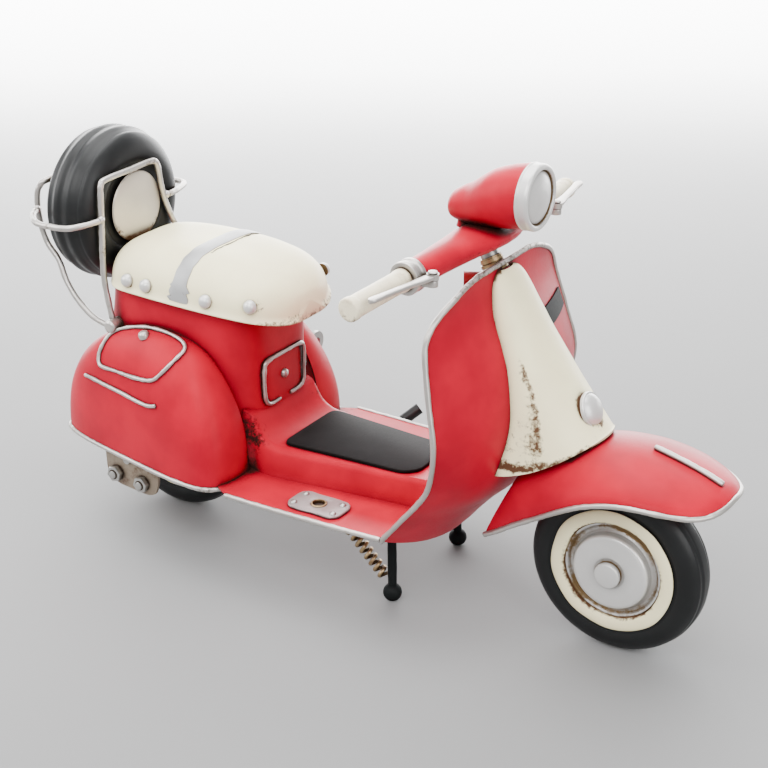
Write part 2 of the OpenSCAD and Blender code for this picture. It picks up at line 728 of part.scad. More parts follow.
module bar_collars() placed() color(silver) mirror_pair() {
    difference() {
        union() {
            bar_axis() cylinder(h = 5, r = 5.3);
            // Lug and pin of the lever
            translate([28, -42.4, 127.2]) cube([7.4, 3.6, 2.1]);
            translate([lever_base[0], lever_base[1], 127.2]) cylinder(h = 2.1, r = 1.8);
        }
        bar_axis() translate([0, 0, 0.6]) cylinder(h = 5, r = 2.6);
        bar_axis() translate([0, 0, 5]) cylinder(h = 5, r = 4.2);
    }
    translate([lever_base[0], lever_base[1], 128]) cylinder(h = 4.4, r = 0.8);
    translate([lever_base[0], lever_base[1], 131.5]) cylinder(h = 0.7, r = 1.5);
}

module grips() placed() color(cream) mirror_pair() bar_axis() {
    translate([0, 0, 0.6]) cylinder(h = 5, r = 2.6);
    translate([0, 0, 5]) cylinder(h = bar_len - 5, r = grip_r);
}

module lever() {
    difference() {
        union() {
            hull() {
                translate(lever_base) cylinder(h = 1.4, r = 1.6, center = true);
                translate(lever_tip) cylinder(h = 1.4, r = 1.2, center = true);
            }
            translate(lever_base) cylinder(h = 1.8, r = 1.9, center = true);
        }
        translate(lever_base) cylinder(h = 4, r = 0.8 + running_gap, center = true);
    }
}

module brake_lever() placed() color(silver) lever();
module clutch_lever() placed() color(silver) mirror([0, 1, 0]) lever();

// Stations from the tail forwards: x, middle z, radius
lamp_rows = [
    [18, 139.2, 1.6], [19, 139.3, 4], [22, 139.9, 5.6], [26, 140.8, 6.9], [30, 142.2, 8.4],
    [34, 143.6, 9.5], [40, 145, 10.2], [45.6, 146, 10.4]];

module headlight_shell() placed() color(red) {
    loft([for (i = [0:12]) let (r = smooth(lamp_rows, i / 12))
        [for (j = [0:23]) [r[0], r[2] * cos(15 * j), r[1] + r[2] * sin(15 * j)]]]);
    translate([22.8, 0, 132.6]) cylinder(h = 6, r = 2);
}

module headlight_bezel() placed() color(silver) translate([45.6, 0, 146]) rotate([0, 90, 0])
    difference() {
        union() {
            cylinder(h = 3.5, r = 10.6);
            translate([0, 0, 3.5]) cylinder(h = 0.8, r1 = 10.6, r2 = 10);
        }
        translate([0, 0, 3]) cylinder(h = 3, r = 8.6);
    }

module headlight_lens() placed() color(silver) translate([48.6, 0, 146]) rotate([0, 90, 0])
    rivet_head(8.5, 2.2);

// ---- Axle bracket, centre stand, kick lever ----

bracket_y = -32;
nut_spots = [[-103.5, 23.4], [-91.2, 22.2]];

module axle_bracket() placed() color([0.55, 0.45, 0.35]) difference() {
    union() {
        translate([0, bracket_y + 1.2, 0]) rotate([90, 0, 0]) linear_extrude(1.2)
            polygon([[-108.8, 36], [-108.4, 24], [-106, 20], [-102, 18.7], [-89, 17.6],
                     [-85.5, 19], [-84, 24], [-83.6, 36]]);
        // Flange soldered inside the cowl
        translate([0, 0, 35]) linear_extrude(1) polygon(
            [[-106, bracket_y + 0.5], [-106, -34.2], [-86, -37.9], [-86, bracket_y + 0.5]]);
    }
    rod_y(rear_axle_x, tyre_r, -40, -20, axle_r + running_gap);
}

module hex_nuts() placed() color(silver) for (p = nut_spots)
    translate([p[0], bracket_y, p[1]]) rotate([90, 0, 0]) {
        cylinder(h = 2.4, r = 3.18, $fn = 6);
        translate([0, 0, 2.4]) cylinder(h = 0.8, r = 1.5);
    }

stand_x = 8.2;
stand_z = 30.2;
stand_mid_y = 2;
stand_half = 22.6;
stand_foot_x = 9.2;
foot_r = 3.3;
foot_z = 3.1;

module stand_bracket() placed() color(black) {
    difference() {
        for (y = [-13, 11.5]) translate([stand_x - 3, y, stand_z - 3])
            cube([6, 1.5, tunnel_z - tin + 3 - stand_z]);
        rod_y(stand_x, stand_z, -20, 20, 1.5 + running_gap);
    }
}

module centre_stand() placed() color(black) {
    rod_y(stand_x, stand_z, stand_mid_y - stand_half + 1, stand_mid_y + stand_half - 1, 1.5);
    for (side = [-1, 1]) {
        top = [stand_x, stand_mid_y + side * (stand_half - 1), stand_z];
        foot = [stand_foot_x, stand_mid_y + side * stand_half, foot_z];
        difference() {
            translate(foot) sphere(r = foot_r, $fn = 32);
            translate([foot[0] - 5, foot[1] - 5, -5]) cube([10, 10, 5]);
        }
        translate(top) sphere(r = 1.7, $fn = 32);
        d = foot - top;
        translate(top) rotate([0, acos(d[2] / norm(d)), atan2(d[1], d[0])])
            cylinder(h = norm(d), r = 1.6);
    }
}

spring_top = [-17.5, -20.3, 32];
spring_foot = [6.3, -20.3, 8];
spring_turns = 8;

module stand_spring() placed() color(brass) {
    d = unit(spring_foot - spring_top);
    a = unit(cross(d, [0, 1, 0]));
    b = cross(d, a);
    wire([for (i = [0:spring_turns * 8])
        spring_top + (spring_foot - spring_top) * i / (spring_turns * 8)
            + 1.9 * (cos(45 * i) * a + sin(45 * i) * b)], 0.5, 4);
}

kick_x = -58;
kick_z = 29;

module kick_arm() placed() color(red) {
    rod_y(kick_x, kick_z, 8.2, 40.8, axle_r);
    wire(smooth_path([[kick_x, 40.2, kick_z], [-51, 42.6, 27.5], [-38, 44.4, 27.5],
                      [-31, 44.6, 29], [-28.6, 44.6, 31], [-27, 45.4, 33]], 18), 1.5, 8);
}

module kick_rubber() placed() color(black)
    translate([-27.4, 45, 32.8]) rotate([-58, 0, -40]) cylinder(h = 8, r = 2.2);

// ---- Clockwork motor, on the left of the rear wheel ----

idler_x = rear_axle_x + 12.26;
idler_z = tyre_r + 10.28;
key_x = -70.1;
key_z = 50;
plate_in_y = 8.6;
plate_out_y = 17.2;

function gear_r(teeth) = gear_module * teeth / 2;

// Direction of one shaft from another, as seen in the plane of the gears
function mesh_angle(x0, z0, x1, z1) = atan2(z0 - z1, x1 - x0);
mesh_a = mesh_angle(rear_axle_x, tyre_r, idler_x, idler_z);
mesh_b = mesh_angle(idler_x, idler_z, key_x, key_z);

// Spur gear around the Z axis with a tooth at the angle turn
module gear(teeth, h, turn) {
    r = gear_r(teeth);
    tooth = 360 / teeth;
    linear_extrude(h) rotate(turn) polygon([for (i = [0:teeth - 1])
        each [for (q = [[-0.36, r - 0.9], [-0.2, r - 0.3], [-0.1, r + 0.7], [0.1, r + 0.7],
                        [0.2, r - 0.3], [0.36, r - 0.9]])
            q[1] * [cos((i + q[0]) * tooth), sin((i + q[0]) * tooth)]]]);
}

module motor_plate(y) {
    difference() {
        translate([0, y, 0]) rotate([90, 0, 0]) mirror([0, 0, 1]) linear_extrude(0.8)
            polygon([[-104, 25.5], [-54.2, 25.5], [-54.2, 32], [-58, 33.8], [-58.8, 44], [-60.5, 70],
                     [-80, 74.5], [-108, 68], [-109.5, 60], [-104, 44]]);
        rod_y(rear_axle_x, tyre_r, 0, 50, axle_r + running_gap);
        rod_y(idler_x, idler_z, 0, 50, 1 + running_gap);
        rod_y(key_x, key_z, 0, 50, axle_r + running_gap);
        rod_y(kick_x, kick_z, 0, 50, axle_r + running_gap);
    }
}

module motor_plates() placed() color(steel) {
    motor_plate(plate_in_y);
    motor_plate(plate_out_y);
}

pillar_spots = [[-66, 31], [-64.5, 67], [-106, 64]];

module motor_pillars() placed() color(steel) {
    for (p = pillar_spots) rod_y(p[0], p[1], plate_in_y + 0.8, plate_out_y, 1.6);
    // Two of them go on to the wall of the rear body
    for (i = [1, 2]) rod_y(pillar_spots[i][0], pillar_spots[i][1], plate_out_y + 0.8, 20.9, 1.6);
}

module mainspring() placed() color(steel) {
    turns = 4;
    points = [for (i = [0:turns * 14]) let (a = i * 360 / 14, r = 3 + 7.6 * i / (turns * 14)) [r, a]];
    translate([key_x, 16.7, key_z]) rotate([90, 0, 0]) linear_extrude(2.2)
        polygon(concat([for (p = points) (p[0] + 0.2) * [cos(p[1]), sin(p[1])]],
                       [for (p = reversed(points)) (p[0] - 0.2) * [cos(p[1]), sin(p[1])]]));
}

module rear_axle() placed() color(steel) {
    rod_y(rear_axle_x, tyre_r, bracket_y - 1, plate_out_y + 2, axle_r);
    translate([rear_axle_x, 9.7, tyre_r]) rotate([-90, 0, 0]) gear(pinion_teeth, 2.2, mesh_a);
}

module idler_gear() placed() color(brass) translate([idler_x, 0, idler_z]) rotate([-90, 0, 0]) {
    translate([0, 0, plate_in_y - 0.5]) cylinder(h = plate_out_y - plate_in_y + 1.6, r = 1);
    translate([0, 0, 9.8]) gear(idler_teeth, 2, mesh_a + 180 + 180 / idler_teeth);
    translate([0, 0, 11.7]) gear(pinion_teeth, 2.4, mesh_b);
}

module great_wheel() placed() color(brass) translate([key_x, 0, key_z]) rotate([-90, 0, 0]) {
    translate([0, 0, plate_in_y - 0.5]) cylinder(h = 35.6, r = axle_r);
    translate([0, 0, 12.1]) gear(great_teeth, 1.8, mesh_b + 180 + 180 / great_teeth);
    translate([0, 0, 13.8]) cylinder(h = 3, r = 2.3);
}

module winding_key() placed() color(steel) translate([key_x, 0, key_z]) rotate([-90, 0, 0]) {
    difference() {
        translate([0, 0, 41.4]) cylinder(h = 5.6, r = 2.6);
        translate([0, 0, 40]) cylinder(h = 3.7, r = axle_r);
    }
    translate([0, 0, 46.4]) for (side = [-1, 1])
        translate([0, side * 4.2, 3]) rotate([0, 90, 0]) difference() {
            cylinder(h = 1.4, r = 4.4, center = true);
            cylinder(h = 3, r = 2, center = true);
        }
}

rear_body();
floor_pan();
floor_mat();
leg_shield();
shield_bead();
floor_beads();
horn_cover();
horn_badge();
name_plate();
head_tube();
cowl_right();
cowl_left();
cowl_beads();
cowl_wires();
latch_knobs();
hatch_wire();
seat();
seat_strap();
rivets();
spare_tyre();
spare_disc();
rack_bail();
rack_hoop();
rack_arms();
rack_nuts();
brake_plate();
axle_bracket();
hex_nuts();
stand_bracket();
motor_plates();
motor_pillars();
mainspring();
fork();
head_rings();
front_axle();
fender();
fender_bead();
fender_crest();
handlebar_casing();
bar_collars();
grips();
headlight_shell();
headlight_bezel();
headlight_lens();
brake_lever();
clutch_lever();
front_tyre();
front_whitewalls();
front_rim();
rear_tyre();
rear_whitewalls();
rear_rim();
rear_axle();
idler_gear();
great_wheel();
winding_key();
centre_stand();
stand_spring();
kick_arm();
kick_rubber();
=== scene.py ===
"""Looks of the tin wind-up scooter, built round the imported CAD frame."""
import math

import bmesh
import bpy
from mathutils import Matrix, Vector, noise


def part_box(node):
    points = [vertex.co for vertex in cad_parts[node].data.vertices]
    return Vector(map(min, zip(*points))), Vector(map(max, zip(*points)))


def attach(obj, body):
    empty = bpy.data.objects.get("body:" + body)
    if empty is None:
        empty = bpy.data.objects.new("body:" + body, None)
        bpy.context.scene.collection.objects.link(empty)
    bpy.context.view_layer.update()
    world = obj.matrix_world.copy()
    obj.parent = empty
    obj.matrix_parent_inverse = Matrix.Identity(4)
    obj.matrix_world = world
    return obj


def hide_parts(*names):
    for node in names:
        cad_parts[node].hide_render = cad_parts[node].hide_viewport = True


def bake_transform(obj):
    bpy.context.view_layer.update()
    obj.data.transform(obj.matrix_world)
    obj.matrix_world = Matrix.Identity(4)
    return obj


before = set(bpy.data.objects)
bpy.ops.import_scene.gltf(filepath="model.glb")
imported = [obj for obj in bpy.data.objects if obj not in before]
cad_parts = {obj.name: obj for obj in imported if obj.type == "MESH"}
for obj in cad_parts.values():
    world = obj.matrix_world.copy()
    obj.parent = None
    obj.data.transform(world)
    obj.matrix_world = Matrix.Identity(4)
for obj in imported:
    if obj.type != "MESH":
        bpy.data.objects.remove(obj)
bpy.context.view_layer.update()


# The tables are in millimetres, with x forward from a point under the floor board.
# SHIFT moves them along x into the CAD frame, by the middle of the front tyre.
FRONT_X, REAR_X, AXLE_Z = 85, -98, 30
tyre_low, tyre_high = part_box("front_tyre")
SHIFT = (tyre_low[0] + tyre_high[0]) * 500 - FRONT_X
FRONT_Y = (tyre_low[1] + tyre_high[1]) * 500

TIN = 0.8           # thickness of the pressed sheets
BEAD_R = 0.9        # wires that edge the sheets
TRIM_R = 0.75       # thin trim wires on the cowls and the hatch
RACK_R = 1.1
SHARP = 38          # degrees between faces that still shade as one surface
MAX_GRIME = 1.5


# ---- Curves ----

def steps(n):
    return [i / n for i in range(n + 1)]


def smooth(p, t):
    """Point at t, from 0 to 1, on a smooth curve through the rows p."""
    n = len(p) - 1
    s = min(max(t, 0), 1) * n
    i = min(int(s), n - 1)
    f = s - i
    a, b, c, d = p[max(i - 1, 0)], p[i], p[i + 1], p[min(i + 2, n)]
    return tuple(0.5 * (2 * B + (C - A) * f + (2 * A - 5 * B + 4 * C - D) * f * f
                        + (3 * B - A - 3 * C + D) * f ** 3) for A, B, C, D in zip(a, b, c, d))


def path_of(p, n):
    return [smooth(p, t) for t in steps(n)]


def mirrored(p):
    return [(x, -y, z) for x, y, z in p]


def spow(v, e):
    """Power that keeps the sign."""
    return math.copysign(abs(v) ** e, v)


def ramp(x, a, b):
    """Smooth step from 0 at a to 1 at b."""
    t = min(max((x - a) / (b - a), 0), 1)
    return t * t * (3 - 2 * t)


def lookup(x, table):
    """Straight-line value at x in a table of pairs."""
    for (x0, y0), (x1, y1) in zip(table, table[1:]):
        if (x0 <= x <= x1) or (x1 <= x <= x0):
            return y0 + (y1 - y0) * (x - x0) / ((x1 - x0) or 1)
    return table[0][1] if abs(x - table[0][0]) < abs(x - table[-1][0]) else table[-1][1]


def wobble(x, y=0.0, z=0.0):
    return noise.noise(Vector((x, y, z)))


def near_line(p, line):
    return min((Vector(p) - Vector(q)).length for q in line)


def finer(points, times):
    out = []
    for a, b in zip(points, points[1:]):
        for t in range(times):
            out.append(tuple(p + (q - p) * t / times for p, q in zip(a, b)))
    return out + [points[-1]]


def soften(points, cut, closed=False):
    """Rounds every corner of a profile."""
    out = []
    n = len(points)
    for i, p in enumerate(points):
        if not closed and i in (0, n - 1):
            out.append(tuple(p))
            continue
        p = Vector(p)
        a = Vector(points[i - 1])
        b = Vector(points[(i + 1) % n])
        ca = min(cut, (a - p).length * 0.45)
        cb = min(cut, (b - p).length * 0.45)
        q0 = p + (a - p).normalized() * ca
        q1 = p + (b - p).normalized() * cb
        for t in (0, 0.33, 0.67, 1):
            out.append(tuple(q0 * (1 - t) ** 2 + p * 2 * t * (1 - t) + q1 * t * t))
    return out


def place(origin, z_dir, x_hint=(1, 0, 0)):
    """Maps local points to an axis that starts at origin."""
    o = Vector(origin)
    z = Vector(z_dir).normalized()
    x = Vector(x_hint)
    x = (x - z * x.dot(z)).normalized()
    y = z.cross(x)
    return lambda p: tuple(o + x * p[0] + y * p[1] + z * p[2])


# ---- Meshes ----

class Shape:
    def __init__(self):
        self.v, self.f, self.m = [], [], []

    def add(self, verts, faces, mat=0, mirror=False):
        for side in ((1, -1) if mirror else (1,)):
            n = len(self.v)
            self.v += [(p[0], p[1] * side, p[2]) for p in verts]
            self.f += [tuple(n + i for i in (f if side == 1 else f[::-1])) for f in faces]
            self.m += [mat] * len(faces)
        return self

    def sheet(self, g, t, **k):
        """Thin closed shell with the grid g as its outer face."""
        rows, cols = len(g), len(g[0])
        outer, inner = [], []
        for i in range(rows):
            for j in range(cols):
                along = Vector(g[min(i + 1, rows - 1)][j]) - Vector(g[max(i - 1, 0)][j])
                across = Vector(g[i][min(j + 1, cols - 1)]) - Vector(g[i][max(j - 1, 0)])
                p = Vector(g[i][j])
                outer.append(tuple(p))
                inner.append(tuple(p - along.cross(across).normalized() * t))
        n = rows * cols
        faces = []
        for i in range(rows - 1):
            for j in range(cols - 1):
                a = i * cols + j
                faces.append((a, a + 1, a + cols + 1, a + cols))
                faces.append((n + a, n + a + cols, n + a + cols + 1, n + a + 1))
        for j in range(cols - 1):
            a = (rows - 1) * cols + j
            faces.append((j, j + n, j + n + 1, j + 1))
            faces.append((a, a + 1, a + n + 1, a + n))
        for i in range(rows - 1):
            a = i * cols
            b = a + cols - 1
            faces.append((a, a + cols, a + n + cols, a + n))
            faces.append((b, b + n, b + n + cols, b + cols))
        return self.add(outer + inner, faces, **k)

    def loft(self, rings, closed=False, **k):
        """Skin over rings of equal length, capped at both ends unless it closes on itself."""
        n, m = len(rings), len(rings[0])
        faces = []
        for i in range(n if closed else n - 1):
            for j in range(m):
                a, b = i * m, (i + 1) % n * m
                e = (j + 1) % m
                faces.append((a + j, a + e, b + e, b + j))
        if not closed:
            faces.append(tuple(range(m - 1, -1, -1)))
            faces.append(tuple((n - 1) * m + j for j in range(m)))
        return self.add([p for r in rings for p in r], faces, **k)

    def wire(self, points, r, sides=12, rough=0.05, closed=False, **k):
        """Round wire with softly ended, slightly uneven metal."""
        pts = [Vector(p) for p in points]
        radius = []
        if not closed:
            t0, t1 = (pts[1] - pts[0]).normalized(), (pts[-2] - pts[-1]).normalized()
            c0 = min(r, (pts[1] - pts[0]).length * 0.8)
            c1 = min(r, (pts[-2] - pts[-1]).length * 0.8)
            pts = ([pts[0], pts[0] + t0 * 0.25 * c0, pts[0] + t0 * c0] + pts[1:-1]
                   + [pts[-1] + t1 * c1, pts[-1] + t1 * 0.25 * c1, pts[-1]])
        n = len(pts)
        for i, p in enumerate(pts):
            s = 1 + rough * wobble(p.x * 0.5, p.y * 0.5, p.z * 0.5) * 2
            if not closed and i in (0, n - 1):
                s *= 0.45
            elif not closed and i in (1, n - 2):
                s *= 0.82
            radius.append(r * s)
        rings = []
        side = None
        for i, p in enumerate(pts):
            if closed:
                t = (pts[(i + 1) % n] - pts[i - 1]).normalized()
            else:
                t = (pts[min(i + 1, n - 1)] - pts[max(i - 1, 0)]).normalized()
            if side is None:
                side = Vector((0, 0, 1)) if abs(t.z) < 0.8 else Vector((1, 0, 0))
            side = (side - t * side.dot(t)).normalized()
            other = t.cross(side)
            rings.append([tuple(p + (side * math.cos(a) + other * math.sin(a)) * radius[i])
                          for a in (2 * math.pi * q / sides for q in range(sides))])
        return self.loft(rings, closed, **k)

    def lathe(self, profile, at, steps=96, closed=False, wavy=0.0, **k):
        """Turned shape around the local Z axis; at maps it into place."""
        verts, faces, index = [], [], []
        for r, h in profile:
            if r < 1e-6:
                index.append([len(verts)] * steps)
                verts.append(at((0, 0, h)))
                continue
            index.append(list(range(len(verts), len(verts) + steps)))
            for s in range(steps):
                a = 2 * math.pi * s / steps
                q = r + wavy * wobble(math.cos(a) * 2.2, math.sin(a) * 2.2, r * 0.05)
                verts.append(at((q * math.cos(a), q * math.sin(a), h)))
        n = len(profile)
        for i in range(n if closed else n - 1):
            a, b = index[i], index[(i + 1) % n]
            for s in range(steps):
                e = (s + 1) % steps
                quad = []
                for q in (a[s], a[e], b[e], b[s]):
                    if q not in quad:
                        quad.append(q)
                if len(quad) > 2:
                    faces.append(tuple(quad))
        return self.add(verts, faces, **k)

    def plate(self, outline, z0, z1, at, edge=0.25, **k):
        """Flat plate with softened edges."""
        c = (sum(p[0] for p in outline) / len(outline), sum(p[1] for p in outline) / len(outline))

        def ring(inset, z):
            out = []
            for x, y in outline:
                d = math.hypot(x - c[0], y - c[1]) or 1
                out.append(at((c[0] + (x - c[0]) * (d - inset) / d,
                               c[1] + (y - c[1]) * (d - inset) / d, z)))
            return out
        levels = [(edge, z0), (edge * 0.3, z0 + edge * 0.3), (0, z0 + edge), (0, z1 - edge),
                  (edge * 0.3, z1 - edge * 0.3), (edge, z1)]
        return self.loft([ring(i, z) for i, z in levels], **k)

    def to_object(self, name, mats=()):
        """Linked object in metres, with its faces turned outward."""
        me = bpy.data.meshes.new(name)
        me.from_pydata([((x + SHIFT) / 1000, y / 1000, z / 1000) for x, y, z in self.v], [], self.f)
        for m in mats:
            me.materials.append(m)
        for poly, m in zip(me.polygons, self.m):
            poly.material_index = m
        bm = bmesh.new()
        bm.from_mesh(me)
        bmesh.ops.recalc_face_normals(bm, faces=bm.faces)
        bm.to_mesh(me)
        bm.free()
        ob = bpy.data.objects.new(name, me)
        bpy.context.collection.objects.link(ob)
        return ob

    def piece(self, name, body, mats, replaces=None, grime=None, angle=SHARP):
        """Visible piece; grime is a number, or a function of a point of the tables."""
        ob = self.to_object(name, mats)
        finish_mesh(ob.data, grime, angle)
        if body:
            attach(ob, body)
        if replaces:
            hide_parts(replaces)
        return ob


def finish_mesh(me, grime, angle):
    """Smooth shading, and the grime layer that the materials read."""
    for poly in me.polygons:
        poly.use_smooth = True
    me.set_sharp_from_angle(angle=math.radians(angle))
    if grime is not None:
        layer = me.attributes.new("grime", "FLOAT", "POINT")
        for i, v in enumerate(me.vertices):
            p = (v.co.x * 1000 - SHIFT, v.co.y * 1000, v.co.z * 1000)
            value = grime(p) if callable(grime) else grime
            layer.data[i].value = min(max(value, 0), MAX_GRIME)
    me.update()


# ---- Materials ----

# Scales of the noises, per metre
BROAD, LUMPS, PATCHES, SPOTS, GRAIN = 55, 240, 260, 700, 1400
AO_SAMPLES = 8
CREASE_SHADE = 0.16     # how much of the paint's colour is left in the deepest crease
COAT_ROUGH = 0.25
BUMP_DEPTH = 0.0004


def material(name, base, rough, metal=0.0, dirt_and_shade_color=(0.02, 0.008, 0.006), crevice=0.9, reach=0.004,
             vary=0.12, bump=0.12, coat=0.0, spec=0.3, tint=(1, 1, 1), patch=0.0,
             patch_color=(0.3, 0.2, 0.1)):
    """Hand-painted metal or rubber: uneven colour, fine grain, grime, and painted shade that darkens the
    creases.

    reach is how far a crease darkens the paint, in metres.
    """
    m = bpy.data.materials.new(name)
    m.use_nodes = True
    nodes, links = m.node_tree.nodes, m.node_tree.links
    shader = nodes["Principled BSDF"]
    shader.inputs["Metallic"].default_value = metal
    shader.inputs["Coat Weight"].default_value = coat
    shader.inputs["Specular IOR Level"].default_value = spec
    shader.inputs["Coat Roughness"].default_value = COAT_ROUGH
    shader.inputs["Specular Tint"].default_value = (*tint, 1)
    coord = nodes.new("ShaderNodeTexCoord")

    def noise_node(scale, detail=4, rough_=0.55):
        n = nodes.new("ShaderNodeTexNoise")
        n.inputs["Scale"].default_value = scale
        n.inputs["Detail"].default_value = detail
        n.inputs["Roughness"].default_value = rough_
        links.new(coord.outputs["Object"], n.inputs["Vector"])
        return n.outputs["Fac"]

    def math_node(op, a, b=None, clamp=False):
        n = nodes.new("ShaderNodeMath")
        n.operation = op
        n.use_clamp = clamp
        for i, v in enumerate((a, b)):
            if v is None:
                continue
            if isinstance(v, (int, float)):
                n.inputs[i].default_value = v
            else:
                links.new(v, n.inputs[i])
        return n.outputs[0]

    def mapped(v, a, b, c=0.0, d=1.0):
        n = nodes.new("ShaderNodeMapRange")
        n.interpolation_type = "SMOOTHSTEP"
        for i, q in zip(("From Min", "From Max", "To Min", "To Max"), (a, b, c, d)):
            n.inputs[i].default_value = q
        links.new(v, n.inputs["Value"])
        return n.outputs["Result"]

    def mix(f, a, b):
        n = nodes.new("ShaderNodeMix")
        n.data_type = "RGBA"
        links.new(f, n.inputs["Factor"])
        for key, v in (("A", a), ("B", b)):
            sock = [s for s in n.inputs if s.name == key and s.type == "RGBA"][0]
            if isinstance(v, tuple):
                sock.default_value = (*v, 1)
            else:
                links.new(v, sock)
        return [s for s in n.outputs if s.type == "RGBA"][0]

    broad = noise_node(BROAD, 3)
    fine = noise_node(GRAIN, 5)
    spots = noise_node(SPOTS, 6, 0.68)
    dark = tuple(c * (1 - vary) for c in base)
    light = tuple(min(c * (1 + vary), 1) for c in base)
    color = mix(mapped(broad, 0.3, 0.7), dark, light)
    if patch:
        patches = mapped(noise_node(PATCHES, 7, 0.72), 0.62 - patch * 0.3, 0.78)
        color = mix(patches, color, patch_color)
    ao = nodes.new("ShaderNodeAmbientOcclusion")
    ao.samples = AO_SAMPLES
    ao.inputs["Distance"].default_value = reach
    # Creases darkened by occlusion: painted shade, and real grime from the grime layer and noise spots, in
    # one mask.
    crease_dirt_and_shade = mapped(ao.outputs["AO"], 0.78, 0.3)
    attr = nodes.new("ShaderNodeAttribute")
    attr.attribute_name = "grime"
    dirt_and_shade = math_node("ADD", math_node("MULTIPLY", crease_dirt_and_shade, crevice), attr.outputs["Fac"])
    dirt_and_shade = math_node("ADD", dirt_and_shade, math_node("MULTIPLY", math_node("SUBTRACT", spots, 0.5), 1.5))
    dirt_and_shade_mask = mapped(dirt_and_shade, 0.5, 0.95)
    shade = tuple(c * CREASE_SHADE for c in base)
    color = mix(mapped(ao.outputs["AO"], 0.99, 0.3, 0, 0.95), color, shade)
    color = mix(dirt_and_shade_mask, color, dirt_and_shade_color)
    links.new(color, shader.inputs["Base Color"])
    r = math_node("ADD", rough, math_node("MULTIPLY", math_node("SUBTRACT", fine, 0.5), 0.16))
    r = math_node("ADD", r, math_node("MULTIPLY", dirt_and_shade_mask, 0.2), clamp=True)
    links.new(r, shader.inputs["Roughness"])
    b = nodes.new("ShaderNodeBump")
    b.inputs["Strength"].default_value = bump
    b.inputs["Distance"].default_value = BUMP_DEPTH
    height = math_node("ADD", math_node("MULTIPLY", fine, 0.35), noise_node(LUMPS, 3))
    links.new(math_node("ADD", height, math_node("MULTIPLY", dirt_and_shade_mask, 0.25)), b.inputs["Height"])
    links.new(b.outputs["Normal"], shader.inputs["Normal"])
    return m


BROWN = (0.085, 0.034, 0.012)
RED = material("red_enamel", (0.42, 0.002, 0.02), 0.38, spec=0.16, tint=(1, 0.4, 0.4),
               vary=0.14, reach=0.006)
DARK_RED = material("dark_red_enamel", (0.26, 0.004, 0.007), 0.4, coat=0.03, patch=0.5,
                    patch_color=(0.05, 0.01, 0.008))
CREAM = material("cream_enamel", (0.98, 0.88, 0.55), 0.42, dirt_and_shade_color=BROWN, vary=0.05,
                 coat=0.05)
GRIP = material("grip_cream", (0.9, 0.8, 0.58), 0.42, dirt_and_shade_color=BROWN, vary=0.06, patch=0.5,
                patch_color=(0.55, 0.42, 0.27))
SILVER = material("silver_paint", (0.52, 0.49, 0.46), 0.36, metal=0.8,
                  dirt_and_shade_color=(0.11, 0.08, 0.055), vary=0.1, patch=0.3, patch_color=(0.4, 0.33, 0.27))
LAMP = material("lamp_silver", (0.7, 0.69, 0.67), 0.38, metal=0.5,
                dirt_and_shade_color=(0.17, 0.105, 0.045), vary=0.05)
STRAP = material("strap_silver", (0.38, 0.38, 0.38), 0.42, metal=0.35,
                 dirt_and_shade_color=(0.2, 0.15, 0.1), vary=0.14)
DISC = material("disc_paint", (0.62, 0.57, 0.49), 0.4, metal=0.45, dirt_and_shade_color=BROWN, vary=0.07)
TYRE = material("tyre_rubber", (0.009, 0.0095, 0.0098), 0.4, dirt_and_shade_color=(0.02, 0.019, 0.018),
                vary=0.2, spec=0.25, crevice=0.3, bump=0.08)
MAT = material("floor_rubber", (0.009, 0.008, 0.008), 0.7, dirt_and_shade_color=(0.03, 0.018, 0.015),
               vary=0.2, crevice=0.4, spec=0.06)
BLACK = material("black_paint", (0.006, 0.007, 0.007), 0.55, spec=0.08,
                 dirt_and_shade_color=(0.06, 0.04, 0.03), vary=0.2, crevice=0.3)
PLATE = material("brake_plate_paint", (0.3, 0.25, 0.245), 0.4, metal=0.45,
                 dirt_and_shade_color=(0.06, 0.03, 0.02), patch=0.4, patch_color=(0.45, 0.42, 0.4))
BROWN_TIN = material("brown_tin", (0.3, 0.24, 0.18), 0.45, metal=0.5,
                     dirt_and_shade_color=(0.05, 0.03, 0.02), patch=0.6, patch_color=(0.12, 0.06, 0.035))
STEEL = material("dull_steel", (0.42, 0.41, 0.39), 0.36, metal=0.9, dirt_and_shade_color=(0.08, 0.05, 0.03),
                 vary=0.15)
BRASS = material("old_brass", (0.36, 0.25, 0.13), 0.36, metal=0.9, dirt_and_shade_color=(0.07, 0.035, 0.015),
                 vary=0.2, patch=0.5, patch_color=(0.16, 0.08, 0.05))
# Dark paint for the seat's crack and the nuts' thread gaps, and painted shade in the brake plate's eyelet
# hole.
LINE = material("dark_line_and_hole_shade", (0.05, 0.035, 0.025), 0.7, vary=0.3)

# ---- Leg shield and horn cover ----

# Rows up the shield: x and z in the middle, then x, z and y at the edge
SHIELD = [
    (24, 24.5, 16, 33.6, 38.5), (27.2, 28, 18, 36.5, 39.8), (31.6, 33.4, 21.8, 41, 41.3),
    (38.4, 41, 26.6, 47, 42.7), (47, 50, 32.7, 54.5, 44.2), (51, 62, 38, 63, 46.2),
    (52.3, 77, 41, 77.5, 48.5), (48.3, 93, 37.7, 93, 46.4), (41.8, 107, 34.6, 106.8, 43.4),
    (39.4, 114.5, 34.8, 112.8, 40.4), (38.5, 118.8, 35.7, 116.4, 36.2), (38.1, 121.4, 36.7, 119.3, 30.4),
    (38, 122.8, 37.2, 121.8, 23.4), (37.9, 123.3, 37.5, 123.1, 16.5)]


def shield_point(s, v):
    r = smooth(SHIELD, s)
    return (r[0] + (r[2] - r[0]) * v * v, r[4] * v, r[1] + (r[3] - r[1]) * v * v)


def shield_grime(p):
    return 0.35 * ramp(p[2], 119, 123) + 0.5 * ramp(7 - abs(p[1]), 0, 3) * ramp(p[2], 117, 121)


